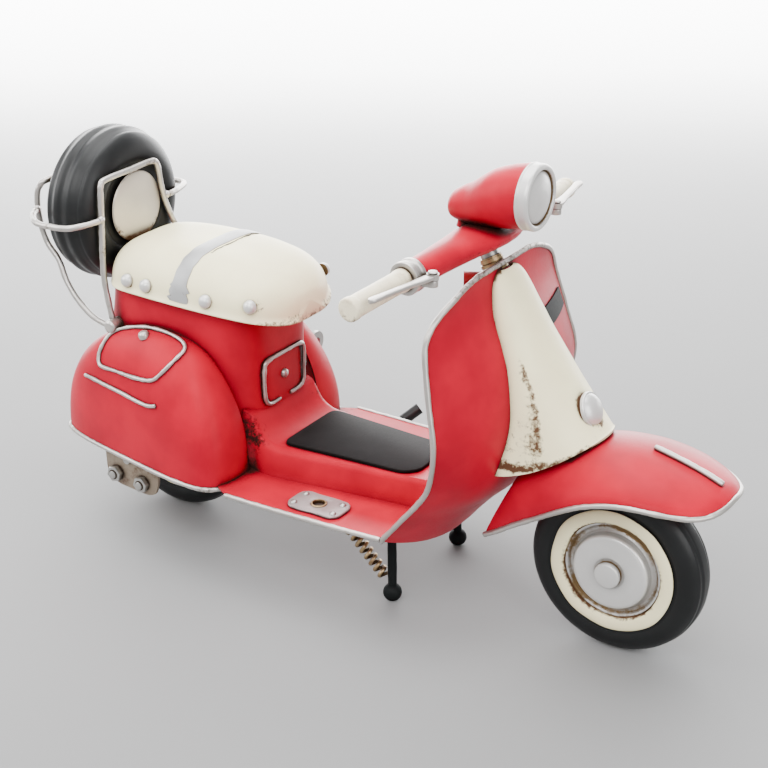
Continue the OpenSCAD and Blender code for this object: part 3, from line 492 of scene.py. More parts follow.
shape = Shape().sheet([[shield_point(s, 1 - 2 * k) for k in steps(56)] for s in steps(72)], TIN)
shape.piece("shield_sheet", "body", [RED], "leg_shield", grime=shield_grime)
right_edge = [shield_point(s, -1) for s in steps(90)]
top_edge = [shield_point(1, 2 * k - 1) for k in steps(16)[1:-1]]
bead = right_edge + top_edge + mirrored(right_edge[::-1])
Shape().wire(bead, BEAD_R, 12, 0.09).piece(
    "shield_edge", "body", [SILVER], "shield_bead",
    grime=lambda p: 0.45 * ramp(p[2], 116, 122) + 0.2)

SHIELD_Z = [(r[1], s) for r, s in zip(SHIELD, steps(len(SHIELD) - 1))]


def shield_x(y, z):
    s = lookup(z, SHIELD_Z)
    return shield_point(s, y / smooth(SHIELD, s)[4])[0]


# Rows down the cover: z, x of the ridge and half width
COVER = [
    (121.6, 39.6, 4), (120.7, 41.2, 6.8), (117.5, 43.9, 9.2), (110, 48.7, 11.3), (100, 55, 12.9),
    (90, 62, 14.9), (81, 68.4, 17.2), (72, 74, 19.4), (66, 77, 20.6)]


COVER_LOW, COVER_RISE = 58.7, 14.3      # z of the lower edge at the sides, and its rise to the middle
BADGE_AT = (69.5, 0, 79.5)


def cover_point(v, a):
    row_z, ridge, half = smooth(COVER, v)
    c = max(math.cos(a), 0)
    low = COVER_LOW + COVER_RISE * c
    z = row_z + (low - COVER[-1][0]) * (max(v - 0.7, 0) / 0.3) ** 1.3
    side = shield_x(half, z) + 0.15
    return (side + (ridge - side) * c ** 0.75, half * math.sin(a), z)


def cover_grime(p):
    above = p[2] - COVER_LOW - COVER_RISE * max(1 - abs(p[1]) / COVER[-1][2], 0) ** 0.5
    g = (0.3 + 0.45 * ramp(-p[1], 4, 14)) * ramp(4.6 - above, 0, 2.4) * ramp(above, 0.7, 1.8)
    g += 0.1 * ramp(14 - above, 0, 10)
    g += 0.62 * ramp(8.2 - (Vector(p) - Vector(BADGE_AT)).length, 0, 3)
    share = abs(p[1]) / lookup(p[2], [(z, half) for z, _, half in COVER])
    g += 0.3 * ramp(share, 0.94, 1.0)
    crease = math.exp(-((share - 0.93 - 0.015 * wobble(p[2] * 0.2, 4.0)) / 0.04) ** 2)
    g += (0.85 if p[1] < 0 else 0.6) * crease * ramp(p[2], 62, 72) * ramp(106 - p[2], 0, 14)
    return g + 0.4 * ramp(p[2], 117.5, 121)


grid = [[cover_point(v, math.radians(-90 + 180 * k)) for k in steps(72)] for v in steps(60)]
Shape().sheet(grid, TIN).piece("horn_cover_skin", "body", [CREAM], "horn_cover",
                               grime=cover_grime)
dome = [(0, 2.6), (1.5, 2.5), (3, 2.15), (4.2, 1.6), (5, 0.9), (5.3, 0.5)]
badge = dome + [(5.75, 0.55), (5.95, 0.25), (5.95, -0.6), (5.5, -0.8), (0, -0.8)]
lean = math.radians(66)
badge_at = place((70.6, 0, 79.7), (math.sin(lean), 0, math.cos(lean)))
Shape().lathe(badge, badge_at, 64).piece("horn_badge_dome", "body", [LAMP], "horn_badge")
plate = []
for i in range(5):
    row = []
    for j in range(17):
        p = shield_point(0.554 + 0.0078 * i, 0.88 - 0.0364 * j)
        row.append((p[0] + 0.6, p[1] + 0.13, p[2] + 0.22))
    plate.append(row)
Shape().sheet(plate, 0.5).piece("name_plate_sheet", "body", [BLACK], "name_plate",
                                grime=0.25)

# ---- Floor ----

# Rows along the floor: x, half width, half width of the tunnel at its foot and top, z of both
FLOOR = [
    (-54, 37, 20.6, 18.8, 56, 35), (-50, 39, 21, 18.6, 54.4, 35), (-46.5, 40.6, 22, 18.4, 48.5, 35),
    (-42, 41.3, 22.6, 18.2, 45.6, 35), (-36, 41.5, 22.3, 17.9, 45, 35), (-20, 41.2, 20, 16.6, 45, 35),
    (-4, 40.6, 17.8, 15, 45, 35), (10, 39.3, 15.9, 13.2, 45, 35), (18, 36.6, 15.3, 12.5, 45.4, 35),
    (23.6, 29, 15, 12.2, 46.6, 35.2), (28.4, 21, 14.6, 11.8, 48.8, 36), (32.8, 15.4, 14, 11, 53, 39),
    (38.8, 13.6, 13, 10, 58.5, 44.5), (44.2, 12.4, 12, 9, 65, 53)]
TUNNEL = [(0, 1), (0.45, 0.86), (0.72, 0.5), (0.86, 0.2), (1, 0.02)]


def floor_section(r):
    x, wide, foot, top, z_top, z_foot = r
    half = [(x, top * 0.95 * k / 7, z_top) for k in range(8)]
    half += [(x, top + (foot - top) * q[0], z_foot + (z_top - z_foot) * q[1]) for q in path_of(TUNNEL, 14)]
    half += [(x, foot + (wide - foot) * k / 12, z_foot) for k in range(1, 13)]
    return mirrored(half[::-1]) + half[1:]


def floor_grime(p):
    corner = ramp(-41.5 - p[0], 0, 5) * ramp(abs(p[1]), 17, 21)
    crease = 0.35 * ramp(1.6 - abs(abs(p[1]) - 21), 0, 1.5) * ramp(36.5 - p[2], 0, 1.2)
    wall = 0.3 * ramp(-43 - p[0], 0, 5) * ramp(57 - p[2], 0, 6)
    mat_edge = 0.35 * ramp(p[2], 44, 44.9) * ramp(abs(p[1]), 12, 14) * ramp(9 - p[0], 0, 4)
    return 0.42 * corner + crease + 0.4 * wall + mat_edge


Shape().sheet([floor_section(r) for r in path_of(FLOOR, 90)], TIN).piece(
    "floor_sheet", "body", [RED], "floor_pan", grime=floor_grime)
mat_line = soften([(-39.3, -14), (-37.6, -15.9), (8.5, -12.7), (12.5, -8.5), (12.5, 8.5), (8.5, 12.7),
                   (-37.6, 15.9), (-39.3, 14)], 2.2, closed=True)
Shape().plate(mat_line, 45.05, 46.35, lambda p: p, 0.5).piece(
    "floor_mat_rubber", "body", [MAT], "floor_mat", grime=0.0)
line = [(-46 + 1.24 * i, -41.7 + 0.001 * i * i, 34.6) for i in range(51)]
Shape().wire(line, BEAD_R, 12, 0.1, mirror=True).piece(
    "floor_edge_wires", "body", [SILVER], "floor_beads", grime=0.12)

PLATE_X, PLATE_Y = -13.5, -31.5
PLATE_HOLE_R = 2.2
outline = soften([(-10.5, -3.5), (-8.5, -6.2), (-4, -6.6), (2, -6), (8, -6.4), (10.6, -4), (10.8, 3),
                  (9, 5.8), (3, 6.3), (-3, 5.9), (-8, 6.2), (-10.3, 4)], 1.6, closed=True)
angles = [math.atan2(y, x) for x, y in outline]
hole = [(PLATE_HOLE_R * math.cos(a), PLATE_HOLE_R * math.sin(a)) for a in angles]


def on_plate(p):
    return (PLATE_X + p[0], PLATE_Y + p[1], p[2])


def plate_ring(points, inset, z):
    out = []
    for x, y in points:
        d = math.hypot(x, y)
        out.append(on_plate((x * (d - inset) / d, y * (d - inset) / d, z)))
    return out


rings = [plate_ring(outline, 0.3, 35.0), plate_ring(outline, 0, 35.3), plate_ring(outline, 0, 35.75),
         plate_ring(outline, 0.3, 36.05), plate_ring(hole, -0.5, 36.05), plate_ring(hole, 0, 35.8),
         plate_ring(hole, 0, 35.3), plate_ring(hole, -0.5, 35.0)]
shape = Shape().loft(rings, closed=True)
shape.lathe([(2.15, 35.2), (2.9, 35.2), (2.9, 36.15), (2.6, 36.4), (2.3, 36.4), (2.15, 36.1)],
            on_plate, 40, closed=True, mat=1)
# Dark disc inside the eyelet: painted shade of the hole.
shape.lathe([(0, 34.9), (2.1, 34.9), (2.1, 35.12), (0, 35.12)], on_plate, 40, mat=2)
shape.piece("brake_plate_tin", "body", [PLATE, BRASS, LINE], "brake_plate",
            grime=lambda p: 0.5 * ramp(5.2 - math.hypot(p[0] - PLATE_X, p[1] - PLATE_Y), 0, 3)
            + 0.25 * ramp(p[1], -28, -25))

# ---- Rear body ----

# Rows up the body: z, front x, rear x and half width
BODY = [(34, -49.5, -131, 21), (45, -49.5, -130, 21.4), (55, -49.5, -126.5, 21.6),
        (65, -49.7, -121.5, 21.8), (78, -50, -116.5, 22), (92, -50.5, -114, 22)]


BODY_SIDES, SEAT_SIDES = 128, 112
BODY_CORNER = 0.45      # power that squares the body's section


def body_ring(level, inset, z=None):
    row_z, front, rear, half_y = smooth(BODY, level)
    mid, half_x = (front + rear) / 2, (front - rear) / 2 - inset
    out = []
    for j in range(BODY_SIDES):
        a = 2 * math.pi * j / BODY_SIDES
        out.append((mid + half_x * spow(math.cos(a), BODY_CORNER),
                    (half_y - inset) * spow(math.sin(a), BODY_CORNER), row_z if z is None else z))
    return out


def cut(target, cutter):
    """Cuts one object out of another, and removes the cutter."""
    mod = target.modifiers.new("cut", "BOOLEAN")
    mod.operation = "DIFFERENCE"
    mod.solver = "EXACT"
    mod.object = cutter
    bpy.context.view_layer.update()
    done = bpy.data.meshes.new_from_object(target.evaluated_get(bpy.context.evaluated_depsgraph_get()))
    target.modifiers.clear()
    old = target.data
    target.data = done
    bpy.data.meshes.remove(old)
    bpy.data.objects.remove(cutter)


def cut_piece(name, shape, cutters, node, grime):
    """Red sheet of the body with the cutters' shapes taken out."""
    ob = shape.to_object(name)
    for cutter in cutters:
        cut(ob, cutter.to_object(name + "_cut"))
    ob.data.materials.clear()
    ob.data.materials.append(RED)
    finish_mesh(ob.data, grime, SHARP)
    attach(ob, "body")
    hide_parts(node)


COWL_IN_Y, COWL_Z = -22.4, 34       # where the cowl meets the body, and its lower edge
# The cowl's edges, x and y at the foot and x and z over the body, from the tail forward
COWL_FOOT = [
    (-131, -22.4), (-131.4, -24.5), (-129.2, -27.3), (-121.5, -30.8), (-109, -34), (-91.5, -37.4),
    (-75.3, -40.4), (-64.5, -41.6), (-56.8, -41.4), (-51.6, -38.4), (-49.4, -32), (-49.3, -22.4)]
COWL_TOP = [
    (-131.2, 34.5), (-130.5, 46), (-127, 57), (-120, 67.5), (-109, 75.5), (-92, 80.5),
    (-76, 80), (-66, 76), (-58.5, 67.5), (-53, 57), (-50.6, 47), (-49.4, 34.5)]
HATCH = [(3, 55.5), (9, 55.8), (11.6, 58), (12, 64), (12, 70), (10, 72.3), (0, 72.6), (-10, 72.3),
         (-12, 69.5), (-12.3, 63.6), (-11.6, 58), (-9, 55.6), (-3, 55.5)]
HATCH_X = -49.3
hatch_line = [(HATCH_X, y, z) for y, z in path_of(HATCH, 78)]


def body_grime(p):
    g = 0.0
    if p[0] > -52 and 50 < p[2] < 78 and abs(p[1]) < 17:
        g += 0.5 * ramp(2.6 - near_line((HATCH_X, p[1], p[2]), hatch_line[::2]), 0, 1.6)
        g += 0.3 * ramp(13 - abs(p[1]), 0, 3) * ramp(9.5 - abs(p[2] - 64), 0, 3)
    g += 0.35 * ramp(p[2], 88, 92)
    return g + 0.6 * ramp(41 - p[2], 0, 5)


inner = [body_ring(0, TIN, 33)] + [body_ring(s, TIN) for s in steps(44)[:-1]]
inner += [body_ring(1, TIN, BODY[-1][0] - TIN)]
arch = Shape().lathe([(0, -45), (31, -45), (31, 45), (0, 45)], place((-90, 0, 34), (0, 1, 0)), 96)
cut_piece("rear_body_tin", Shape().loft([body_ring(s, 0) for s in steps(44)]),
          [Shape().loft(inner), arch], "rear_body", body_grime)

shape = Shape().wire(hatch_line[:-1] + [(HATCH_X, -3, 55.5)], TRIM_R, 10, 0.18)
shape.piece("hatch_frame", "body", [SILVER], "hatch_wire", grime=0.4)


def cowl_point(u, v):
    """Point on the right cowl: u runs forward, v from the foot to the seam on the body."""
    f, t = smooth(COWL_FOOT, u), smooth(COWL_TOP, u)
    a = math.radians(90 * v)
    inward = 1 - max(math.cos(a), 0) ** 0.9
    up = math.sin(a) ** 0.95 if v > 0 else 0
    return (f[0] + (t[0] - f[0]) * inward, f[1] + (COWL_IN_Y - f[1]) * inward,
            COWL_Z + (t[1] - COWL_Z) * up)


def cowl_grime(p):
    y = abs(p[1])
    g = 0.5 * ramp(24.4 - y, 0, 1.8) + 0.4 * ramp(36.4 - p[2], 0, 2)
    g += 0.4 * ramp(p[0], -58, -51) * ramp(46 - p[2], 0, 9)
    g += 0.3 * ramp(40 - p[2], 0, 4) * ramp(abs(p[0] + 82), 8, 0)
    return g


right = [[cowl_point((k / 4 + 0.15) / 22.3, v) for k in range(88, -1, -1)] for v in steps(36)]
left = [mirrored(row)[::-1] for row in right]
low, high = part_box("winding_key")
key_at = place(((low[0] + high[0]) * 500 - SHIFT, 0, (low[2] + high[2]) * 500), (0, 1, 0))
key_hole = Shape().lathe([(0, 30), (2.6, 30), (2.6, 50), (0, 50)], key_at, 40)
cut_piece("cowl_shell_right", Shape().sheet(right, TIN), [], "cowl_right", cowl_grime)
cut_piece("cowl_shell_left", Shape().sheet(left, TIN), [key_hole], "cowl_left", cowl_grime)
foot_line = [cowl_point(i / 108, 0) for i in range(4, 105)]
Shape().wire([(x, y, z - 0.3) for x, y, z in foot_line], BEAD_R, 12, 0.12, mirror=True).piece(
    "cowl_edge_wires", "body", [SILVER], "cowl_beads",
    grime=lambda p: 0.15 + 0.5 * ramp(p[0], -66, -56) * ramp(abs(p[1]), 36, 40))
# The door wire and the strip on each cowl, as u and v of cowl_point
DOOR = [
    (0.371, 0.81), (0.385, 0.9), (0.417, 0.94), (0.469, 0.95), (0.522, 0.94), (0.562, 0.9),
    (0.576, 0.82), (0.559, 0.678), (0.531, 0.542), (0.508, 0.478), (0.464, 0.456),
    (0.414, 0.473), (0.368, 0.51), (0.357, 0.6), (0.362, 0.7), (0.371, 0.81)]
STRIP = [(0.308, 0.447), (0.352, 0.402), (0.396, 0.366), (0.43, 0.345), (0.469, 0.327), (0.505, 0.325),
         (0.53, 0.345)]


def out_of_cowl(p):
    return (Vector(p) - Vector((-85, -18, 45))).normalized()


def outward(p, d):
    return tuple(Vector(p) + out_of_cowl(p) * d)


door_line = [outward(cowl_point(u, v), 0.45) for u, v in path_of(DOOR, 84)[:-1]]
strip_line = [outward(cowl_point(u, v), 0.5) for u, v in path_of(STRIP, 30)]
shape = Shape().wire(door_line, TRIM_R, 10, 0.16, closed=True, mirror=True)
shape.wire(strip_line, TRIM_R, 10, 0.1, mirror=True)
shape.piece("cowl_trim_wires", "body", [SILVER], "cowl_wires", grime=0.22)
knob = [(0, 1.9), (0.9, 1.8), (1.6, 1.4), (2, 0.7), (2, -0.6), (0, -0.6)]
spot = cowl_point(0.462, 0.824)
shape = Shape().lathe(knob, place(spot, out_of_cowl(spot)), 32, mirror=True)
shape.lathe([(r * 0.85, h) for r, h in knob], place((-50, 0, 64.2), (1, 0, 0), (0, 1, 0)), 32)
shape.piece("latch_heads", "body", [SILVER], "latch_knobs", grime=0.1)

# ---- Seat ----

# Rows along the seat: x, half width, z of the lip and of the top
SEAT = [
    (-112.6, 12, 93.2, 99.5), (-111.8, 17, 92.8, 103.2), (-109, 21, 92.3, 106.3), (-104, 23.8, 92, 108.3),
    (-93, 25, 92, 109.6), (-79, 25.8, 92, 109.8), (-65, 26.2, 92, 108.8), (-54, 25.2, 91.6, 106.8),
    (-46.5, 22, 90.5, 104.2), (-42, 17.4, 89.4, 101.4), (-39, 12, 88.6, 98), (-37.8, 7, 88.4, 94.5)]


def seat_ring(r):
    """Section of the seat, with the rolled lip round its foot."""
    out = []
    for j in range(SEAT_SIDES):
        a = 2 * math.pi * (j + 0.5) / SEAT_SIDES
        s, c = math.sin(a), math.cos(a)
        lower = s < 0
        w = r[1] * (1 if lower else 0.92 + 0.08 * (1 - s))
        z = r[2] + 2.5 + (2.5 if lower else r[3] - r[2] - 2.5) * spow(s, 0.4 if lower else 0.8)
        roll = math.exp(-((z - r[2] - 0.9) / 1.1) ** 2)
        x = r[0] + roll * 0.9 * ramp(r[0], -60, -40)
        out.append((x, w * spow(c, 0.3 if lower else 0.55) * (1 + roll / max(w, 6)), z))
    return out


def seat_grime(p):
    front = ramp(p[0], -56, -42)
    g = 0.46 * front * ramp(92.8 - p[2], 0, 1.8) + 0.22 * ramp(93 - p[2], 0, 1.5)
    for x, _ in RIVET_AT:
        d = math.hypot(p[0] - x - 0.6, p[2] - RIVET_Z + 0.3)
        if abs(p[1]) > 8:
            g += 0.55 * ramp(4.2 - d, 0, 2)
    return g


SEAT_WIDTH = [r[:2] for r in path_of(SEAT, 40)]
SEAT_T = [(smooth(SEAT, t)[0], t) for t in steps(60)]
RIVET_Z = 97.2
RIVET_AT = [(x, lookup(x, SEAT_WIDTH)) for x in (-99, -90, -63, -47)]
Shape().loft([seat_ring(r) for r in path_of(SEAT, 96)]).piece(
    "seat_pad_tin", "body", [CREAM], "seat", grime=seat_grime, angle=50)


def seat_over(x, k, lift):
    """Point on the upper side of the seat; k runs from -1 at the right edge to 1."""
    t = lookup(x, SEAT_T)
    r = smooth(SEAT, t)
    a = math.radians(90 - 89.9 * k)
    s, c = math.sin(a), math.cos(a)
    w = r[1] * (0.92 + 0.08 * (1 - s))
    p = Vector((x, w * spow(c, 0.55), r[2] + 2.5 + (r[3] - r[2] - 2.5) * spow(s, 0.8)))
    n = Vector((0, p.y / 26 * 0.9 if abs(k) > 0.5 else p.y / 40, 1 - abs(k) ** 3)).normalized()
    return tuple(p + n * lift)


grid = []
for i in range(9):
    row = []
    for k in (-1 + 2 * s for s in steps(80)):
        ragged = 1 + 0.75 * ramp(abs(k), 0.72, 0.95) * (0.6 + wobble(k * 30, i, 0.5))
        ragged += 0.1 * wobble(k * 9, 3.1)
        x = -75 + (i - 4) / 4 * 3 * ragged
        row.append(seat_over(x, k, 0.42 - 0.25 * (abs(i - 4) / 4) ** 3))
    grid.append(row)
Shape().sheet(grid, 0.6).piece("seat_strap_band", "body", [STRAP], "seat_strap",
                               grime=lambda p: 0.12 + 0.2 * ramp(abs(p[1]), 22, 25))
crack = []
for y in (-9 + 24 * s for s in steps(33)):
    k = spow(y / 25.5, 1 / 0.9)
    crack.append(seat_over(-70.9 + 0.5 * wobble(y * 0.6, 1.7), k * 0.55, 0.02))
Shape().wire(crack, 0.26, 6, 0.4).piece("seat_crack", "body", [LINE])
shape = Shape()
head = [(0, 1.9), (0.9, 1.8), (1.7, 1.35), (2.3, 0.6), (2.4, 0), (2.4, -0.8), (0, -0.8)]
for x, y in RIVET_AT:
    shape.lathe(head, place((x, -y - 0.05, RIVET_Z), (0, -1, 0.06)), 36, mirror=True)
small = [(0, 0.75), (0.6, 0.65), (1.05, 0.35), (1.25, 0), (1.25, -0.2), (0, -0.2)]
for x, y in ((-7.8, -3.6), (8, -3.4), (-7.6, 3.4), (7.6, 3.2)):
    shape.lathe(small, place(on_plate((x, y, 36)), (0, 0, 1)), 24, mat=1)
shape.piece("rivet_heads", "body", [LAMP, STEEL], "rivets",
            grime=lambda p: 0.3 if p[2] > 80 else 0.1)

# ---- Spare wheel and rack ----

SPARE_X, SPARE_Z = -125.2, 115.5


def tyre_profile(r, w, bore, grooves, deep, wide):
    """Closed section: bore, side wall, crowned tread with soft grooves."""
    out = [(bore, -w * 0.44)]
    side = 0.4 * w
    for i in range(41):
        a = math.radians(-118 + 236 * i / 40)
        rr = r - side + side * math.cos(a)
        h = side * math.sin(a) + math.copysign(0.1 * w, math.sin(a)) * min(abs(math.sin(a)) * 3, 1)
        for g in grooves:
            rr -= deep * math.exp(-((h - g) / wide) ** 4)
        out.append((rr, h))
    out.append((bore, w * 0.44))
    return out


spare_at = place((SPARE_X, 0, SPARE_Z), (1, 0, 0), (0, 0, -1))
profile = tyre_profile(28.2, 22, 11.5, (-5.2, 0.2, 5.6), 0.6, 1.5)
Shape().lathe(path_of(profile, 110), spare_at, 144, closed=True).piece(
    "spare_tyre_rubber", "body", [TYRE], "spare_tyre", angle=55)
face = [(0, 12.15), (4, 12.15), (9, 12.05), (11.8, 11.9), (12.7, 11.6), (13, 11.1), (12.7, 10.75),
        (11.5, 10.6), (11.4, -10.4), (10.8, -10.4), (0, -10.2)]
Shape().lathe(face, spare_at, 96).piece(
    "spare_disc_plate", "body", [DISC], "spare_disc",
    grime=lambda p: 0.62 * ramp(math.hypot(p[1], p[2] - SPARE_Z) / 13, 0.7, 1.0)
    * ramp(SPARE_Z + 4 - p[2], 0, 12) + 0.12)

BX = -112.4
BAIL = [(-108.4, -22.8, 78.4), (-109.6, -22.8, 84), (-111.4, -22.6, 94), (BX, -21.6, 103),
        (BX, -21.2, 110), (BX, -20.8, 117), (BX, -20.4, 124), (BX, -19.8, 128.4), (BX, -17.3, 130),
        (BX, -4, 130.4), (BX, 8, 130.6), (BX, 11, 128), (BX, 12.5, 120), (BX, 15, 112), (BX, 19.5, 103),
        (-111.4, 22.6, 94), (-109.6, 22.8, 84), (-108.4, 22.8, 78.4)]
HOOP = [(-108, -25, 78), (-116, -25, 80), (-123.5, -24.4, 85), (-129, -23.6, 91), (-133, -22.6, 98),
        (-138.2, -22.2, 103.5), (-141, -22, 111), (-141.6, -22, 118.5), (-140.5, -21.4, 124),
        (-138, -17, 126.6)]
ARM = [(-111.6, -22.6, 116.4), (-114, -28, 115.8), (-118, -32.3, 115.2), (-125, -33.6, 115),
       (-132, -33, 115), (-137.5, -29, 115.4), (-141, -23.6, 115.8)]


def wire_grime(p):
    return 0.26 + 0.34 * ramp(wobble(p[0] * 0.15, p[1] * 0.15, p[2] * 0.15), 0.1, 0.5)


def rack_wire(points, n, shape):
    return shape.wire(path_of(points, n), RACK_R, 14, 0.05)


rack_wire(BAIL, 170, Shape()).piece(
    "rack_front_loop", "body", [SILVER], "rack_bail", grime=wire_grime)
rack_wire(HOOP + mirrored(HOOP[::-1]), 190, Shape()).piece(
    "rack_rear_loop", "body", [SILVER], "rack_hoop", grime=wire_grime)
shape = rack_wire(ARM, 60, Shape())
rack_wire([(-111.6, 15.4, 116.4), (-113, 22, 116)] + mirrored(ARM[2:7]), 60, shape)
for p in ((-111.9, -21.6, 116.5), (-141.2, -22.8, 115.9), (-141.2, 22.8, 115.9), (-112, 14.6, 116.4)):
    shape.lathe([(0, 1.5), (1, 1.1), (1.5, 0), (1, -1.1), (0, -1.5)], place(p, (0, 1, 0)), 20)
shape.piece("rack_side_arms", "body", [SILVER], "rack_arms", grime=wire_grime)
nut = soften([(0, 6.6), (1.6, 6.5), (2.5, 5.9), (2.5, 0.4), (0, 0)], 0.3)
shape = Shape().lathe(nut, place((-107.8, -20, 78), (0, -1, 0)), 32, mirror=True)
shape.piece("rack_joint_nuts", "body", [SILVER], "rack_nuts", grime=0.25)

# ---- Axle bracket and its nuts ----

shape = Shape()
line = soften([(-108.8, 36), (-108.4, 24), (-106, 20), (-102, 18.7), (-89, 17.6), (-85.5, 19),
               (-84, 24), (-83.6, 36)], 1.5, closed=True)
shape.plate(line, 30.8, 32, lambda p: (p[0], -p[2], p[1]), 0.2)
shape.plate([(-106, 31.2), (-86, 31.2), (-86, 37.4), (-106, 33.8)], 35, 36,
            lambda p: (p[0], -p[1], p[2]), 0.2)
shape.piece("axle_bracket_tin", "body", [BROWN_TIN], "axle_bracket", grime=0.3)
shape = Shape()
corners = [math.radians(60 * i + 12) for i in range(6)]
hexagon = [(3.18 * math.cos(a), 3.18 * math.sin(a)) for a in corners]
for x, z in ((-103.5, 23.4), (-91.2, 22.2)):
    def at_nut(p, x=x, z=z):
        return (x + p[0], -32 - p[2], z + p[1])
    shape.plate(soften(hexagon, 0.25, closed=True), 0, 2.4, at_nut, 0.3)
    shape.lathe([(1.9, 2.35), (1.9, 2.5), (1.6, 2.55), (1.6, 2.3)], at_nut, 28, closed=True, mat=1)
    shape.lathe([(0, 3.25), (1.1, 3.2), (1.45, 2.95), (1.45, 2), (0, 2)], at_nut, 28)
shape.piece("bracket_hex_nuts", "body", [STEEL, LINE], "hex_nuts", grime=0.25)

# ---- Fender, crest and front wheel ----

# Rows along the fender: x at the lower edge and crown, half width, z of the edge and crown
FENDER = [
    (44, 55, 20, 36, 64.4), (49, 58, 21.6, 39.3, 66.8), (56, 62, 22.6, 44.3, 68.6),
    (64.6, 67.5, 23.2, 49.7, 70), (73, 74, 23.5, 54.8, 70.9), (80, 80, 23.6, 58.3, 71.4),
    (88, 88, 23.6, 60.8, 71.1), (95.3, 95.3, 23, 61.7, 69.9), (103, 103, 21.5, 61.4, 68.3),
    (109, 109, 19.1, 60.7, 66.8), (113, 113, 16.6, 60.3, 65.6), (116.3, 116.3, 13.2, 60.3, 64.4),
    (118.7, 118.7, 8.6, 60.9, 63), (119.8, 119.8, 3.6, 61.5, 62.2)]


def fender_point(s, degrees):
    r = smooth(FENDER, s)
    a = math.radians(degrees)
    c = max(math.cos(a), 0) ** 1.05
    return (r[0] + (r[1] - r[0]) * c, r[2] * math.sin(a), r[3] + (r[4] - r[3]) * c)


def fender_grime(p):
    g = 0.75 * ramp(p[2], 64.5, 68) * ramp(78 - p[0], 0, 8) * ramp(22 - abs(p[1]), 0, 3)
    g += 0.36 * ramp(p[0], 113, 119) + 0.36 * ramp(50 - p[0], 0, 6)
    return g


grid = [[fender_point(s, -90 + 180 * k) for k in steps(72)] for s in steps(110)]
Shape().sheet(grid, TIN).piece("fender_tin", "steering", [RED], "fender", grime=fender_grime)
edge = [fender_point(s, -90) for s in steps(110)]
Shape().wire(edge + [(120.1, 0, 62)] + mirrored(edge[::-1]), BEAD_R, 12, 0.08).piece(
    "fender_edge", "steering", [SILVER], "fender_bead",
    grime=lambda p: 0.12 + 0.3 * ramp(58 - p[0], 0, 10))
crest = [fender_point(0.5 + 0.33 * s, 6 - 4 * s) for s in steps(40)]
crest = [(x, y, z + 0.6) for x, y, z in crest]
Shape().wire(crest, 1.0, 12, 0.08).piece("fender_crest_strip", "steering", [SILVER],
                                         "fender_crest", grime=0.2)


def wheel(name, body, cx, cy):
    axis = place((cx, cy, AXLE_Z), (0, 1, 0), (1, 0, 0))

    def whitewall_grime(p):
        d = math.hypot(p[0] - cx, p[2] - AXLE_Z)
        part = 0.8 + 0.9 * wobble(p[0] * 0.09, p[2] * 0.09, 2.0)
        return 0.2 * ramp(19.6 - d, 0, 2) + part * 0.6 * ramp(18.2 - d, 0, 1.2)

    def dish_grime(p):
        d = math.hypot(p[0] - cx, p[2] - AXLE_Z)
        part = 0.55 + 0.9 * wobble(p[0] * 0.08, p[2] * 0.08, 5.0)
        return part * ramp(d, 13.2, 14.8) + 0.4 * ramp(5.8 - d, 0, 1.2)

    profile = path_of(tyre_profile(30, 13.6, 17, (-3.1, 3.1), 0.3, 0.5), 110)
    Shape().lathe(profile, axis, 144, closed=True).piece(
        name + "_tyre_rubber", body, [TYRE], name + "_tyre", angle=55)
    shape = Shape()
    for side in (-1, 1):
        ring = [(16.7, 5.7), (16.9, 6.5), (17.5, 6.95), (18.6, 7.15), (20, 7.12), (21, 6.95), (21.35, 6.7),
                (21.3, 6.3), (17, 5.6)]
        shape.lathe([(r, h * side) for r, h in ring], axis, 144, closed=True, wavy=0.42)
    shape.piece(name + "_whitewall_paint", body, [CREAM], name + "_whitewalls",
                grime=whitewall_grime)
    dish = [(17, 0), (17, 5.4), (16.6, 5.85), (16, 5.75), (15.2, 4.75), (14.6, 4.5), (14.1, 4.7),
            (13.4, 5.3), (13.05, 6.2), (12.95, 7.4), (12.6, 8.0), (11.8, 8.3), (9, 8.33), (5.4, 8.25),
            (4.9, 8.1), (1.55, 8.1), (1.55, -6.2), (12.6, -6.2), (13.4, -5.9), (14, -5.3), (14.6, -4.5),
            (15.2, -4.7), (16.1, -5.8), (16.7, -5.8), (17, -5.4)]
    dish = soften(dish, 0.22, closed=True)
    Shape().lathe([(r, -h) for r, h in dish], axis, 128, closed=True).piece(
        name + "_rim_dish", body, [LAMP], name + "_rim", grime=dish_grime)


wheel("front", "front_wheel", FRONT_X, FRONT_Y)
wheel("rear", "rear_wheel", REAR_X, 0)
# Cap, axle and end nut: profile, softening, y, direction and sides
shape = Shape()
for profile, round_by, y, toward, sides in (
        ([(0, 0), (4.3, 0), (4.3, 2.2), (0, 2.35)], 0.55, -11.65, -1, 48),
        ([(0, 0), (1.5, 0), (1.5, 20.8), (0, 20.8)], 0.2, -12.2, 1, 32),
        ([(0, 0), (3, 0), (3, 2), (0, 2)], 0.4, 7.5, 1, 40)):
    shape.lathe(soften(profile, round_by), place((FRONT_X, y, AXLE_Z), (0, toward, 0)), sides)
shape.piece("front_axle_caps", "steering", [LAMP], "front_axle",
            grime=lambda p: 0.3 * ramp(p[1], -12.6, -11.7))

# ---- Handlebar and headlight ----

# Rows outward along the handlebar: y, x and z of the middle, half depth and half height
CASING = [(0, 31.2, 131.2, 8.6, 3.7), (7, 30.8, 131.2, 8.4, 3.8), (14, 30, 130.8, 7.2, 4),
          (24, 28.8, 130, 5.7, 4.3), (38.5, 27.5, 129, 4.4, 4.4)]


CASING_T = [(smooth(CASING, t)[0], t) for t in steps(80)]
BAR_END_Y = 38.5


